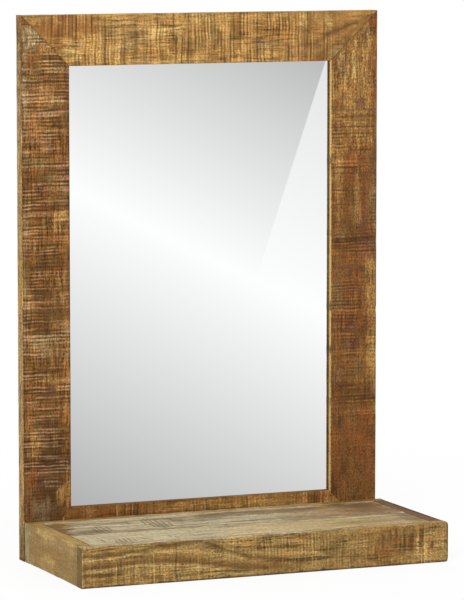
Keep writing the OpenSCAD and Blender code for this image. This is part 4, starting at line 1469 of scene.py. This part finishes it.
def card_light(g, x, z):
    """How bright the card is at a place in the glass: a grey slope on each side of a bright band."""
    top, bottom = 0.49, 0.453
    band, wedge_top = 1.04, 0.81
    ridge = g.minus(z, g.minus(BAND_HEIGHT, g.times(x, BAND_FALL)))
    below = g.steps(ridge, -BAND_BELOW, 0.0, bottom, band, soft=False)
    above = g.steps(ridge, 0.0, BAND_ABOVE, band, top, soft=False)
    above_right = g.steps(ridge, 0.0, BAND_ABOVE, band, wedge_top, soft=False)
    edge = g.plus(WEDGE_START, g.times(z, WEDGE_SLANT))
    wedge = g.steps(g.minus(x, edge), -WEDGE_SOFT, WEDGE_SOFT)
    over = g.plus(g.times(above, g.minus(1.0, wedge)), g.times(above_right, wedge))
    return g.math("MINIMUM", below, over)


def make_card(studio):
    """The card in front of the mirror that it reflects, drawn where the camera sees it in the glass."""
    glass_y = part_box("mirror_glass")[0].y
    eye = Vector(studio.eye)
    card_y = -studio.card_distance
    spread = (2 * glass_y - eye.y - card_y) / (glass_y - eye.y)
    material, g = new_material("reflected_card")
    parts = g.add("ShaderNodeSeparateXYZ", {0: g.place()}).outputs
    x = g.plus(g.times(parts[0], 1 / spread), eye.x - eye.x / spread)
    z = g.plus(g.times(parts[2], 1 / spread), eye.z - eye.z / spread)
    shone = g.add("ShaderNodeEmission", {"Color": (1, 1, 1), "Strength": card_light(g, x, z)}).outputs[0]
    g.add("ShaderNodeOutputMaterial", {"Surface": shone})
    card = stage_plane("reflected_card", CARD_SIZE, CARD_SIZE, material)
    card.data.transform(Matrix.Translation((0, card_y, 0)) @ Matrix.Rotation(math.pi / 2, 4, "X"))
    card.visible_camera = card.visible_diffuse = card.visible_shadow = False
    card.visible_transmission = card.visible_volume_scatter = False


class MIRROR_OT_stage(bpy.types.Operator):
    """Sets up the camera, the floor, the lamps and what the mirror reflects"""

    bl_idname = "mirror_shelf.stage"
    bl_label = "Stage"

    def execute(self, context):
        studio = context.scene.mirror_shelf.studio
        make_camera(studio)
        make_world(studio)
        make_floor()
        make_card(studio)
        make_lamp("key_lamp", (-1.8, -2.6, 2.4), 1.6, studio.key)
        make_lamp("fill_lamp", (2.2, -2.2, 1.4), 1.8, studio.fill)
        make_lamp("back_lamp", (0.4, 2.6, 2.2), 1.8, studio.back)
        context.scene.view_settings.view_transform = "Standard"
        return {"FINISHED"}


class MIRROR_PT_panel(bpy.types.Panel):
    """Lists the steps that build the mirror"""

    bl_label = "Mirror with Shelf"
    bl_space_type = "VIEW_3D"
    bl_region_type = "UI"
    bl_category = "Mirror"

    def draw(self, context):
        for operator in OPERATORS:
            self.layout.operator(operator.bl_idname)


GROUPS = (MirrorBoardSettings, MirrorColourSettings, MirrorStudioSettings, MirrorSettings)
OPERATORS = (
    MIRROR_OT_stage,
    MIRROR_OT_frame,
    MIRROR_OT_carving,
    MIRROR_OT_shelf,
    MIRROR_OT_glass,
    MIRROR_OT_backing,
    MIRROR_OT_hardware,
    MIRROR_OT_joinery,
)
CLASSES = (*GROUPS, *OPERATORS, MIRROR_PT_panel)


def register():
    for cls in CLASSES:
        bpy.utils.register_class(cls)
    bpy.types.Scene.mirror_shelf = PointerProperty(type=MirrorSettings)


def unregister():
    del bpy.types.Scene.mirror_shelf
    for cls in reversed(CLASSES):
        bpy.utils.unregister_class(cls)


def main():
    register()
    for operator in OPERATORS:
        group, step = operator.bl_idname.split(".")
        getattr(getattr(bpy.ops, group), step)()


if __name__ == "__main__":
    main()
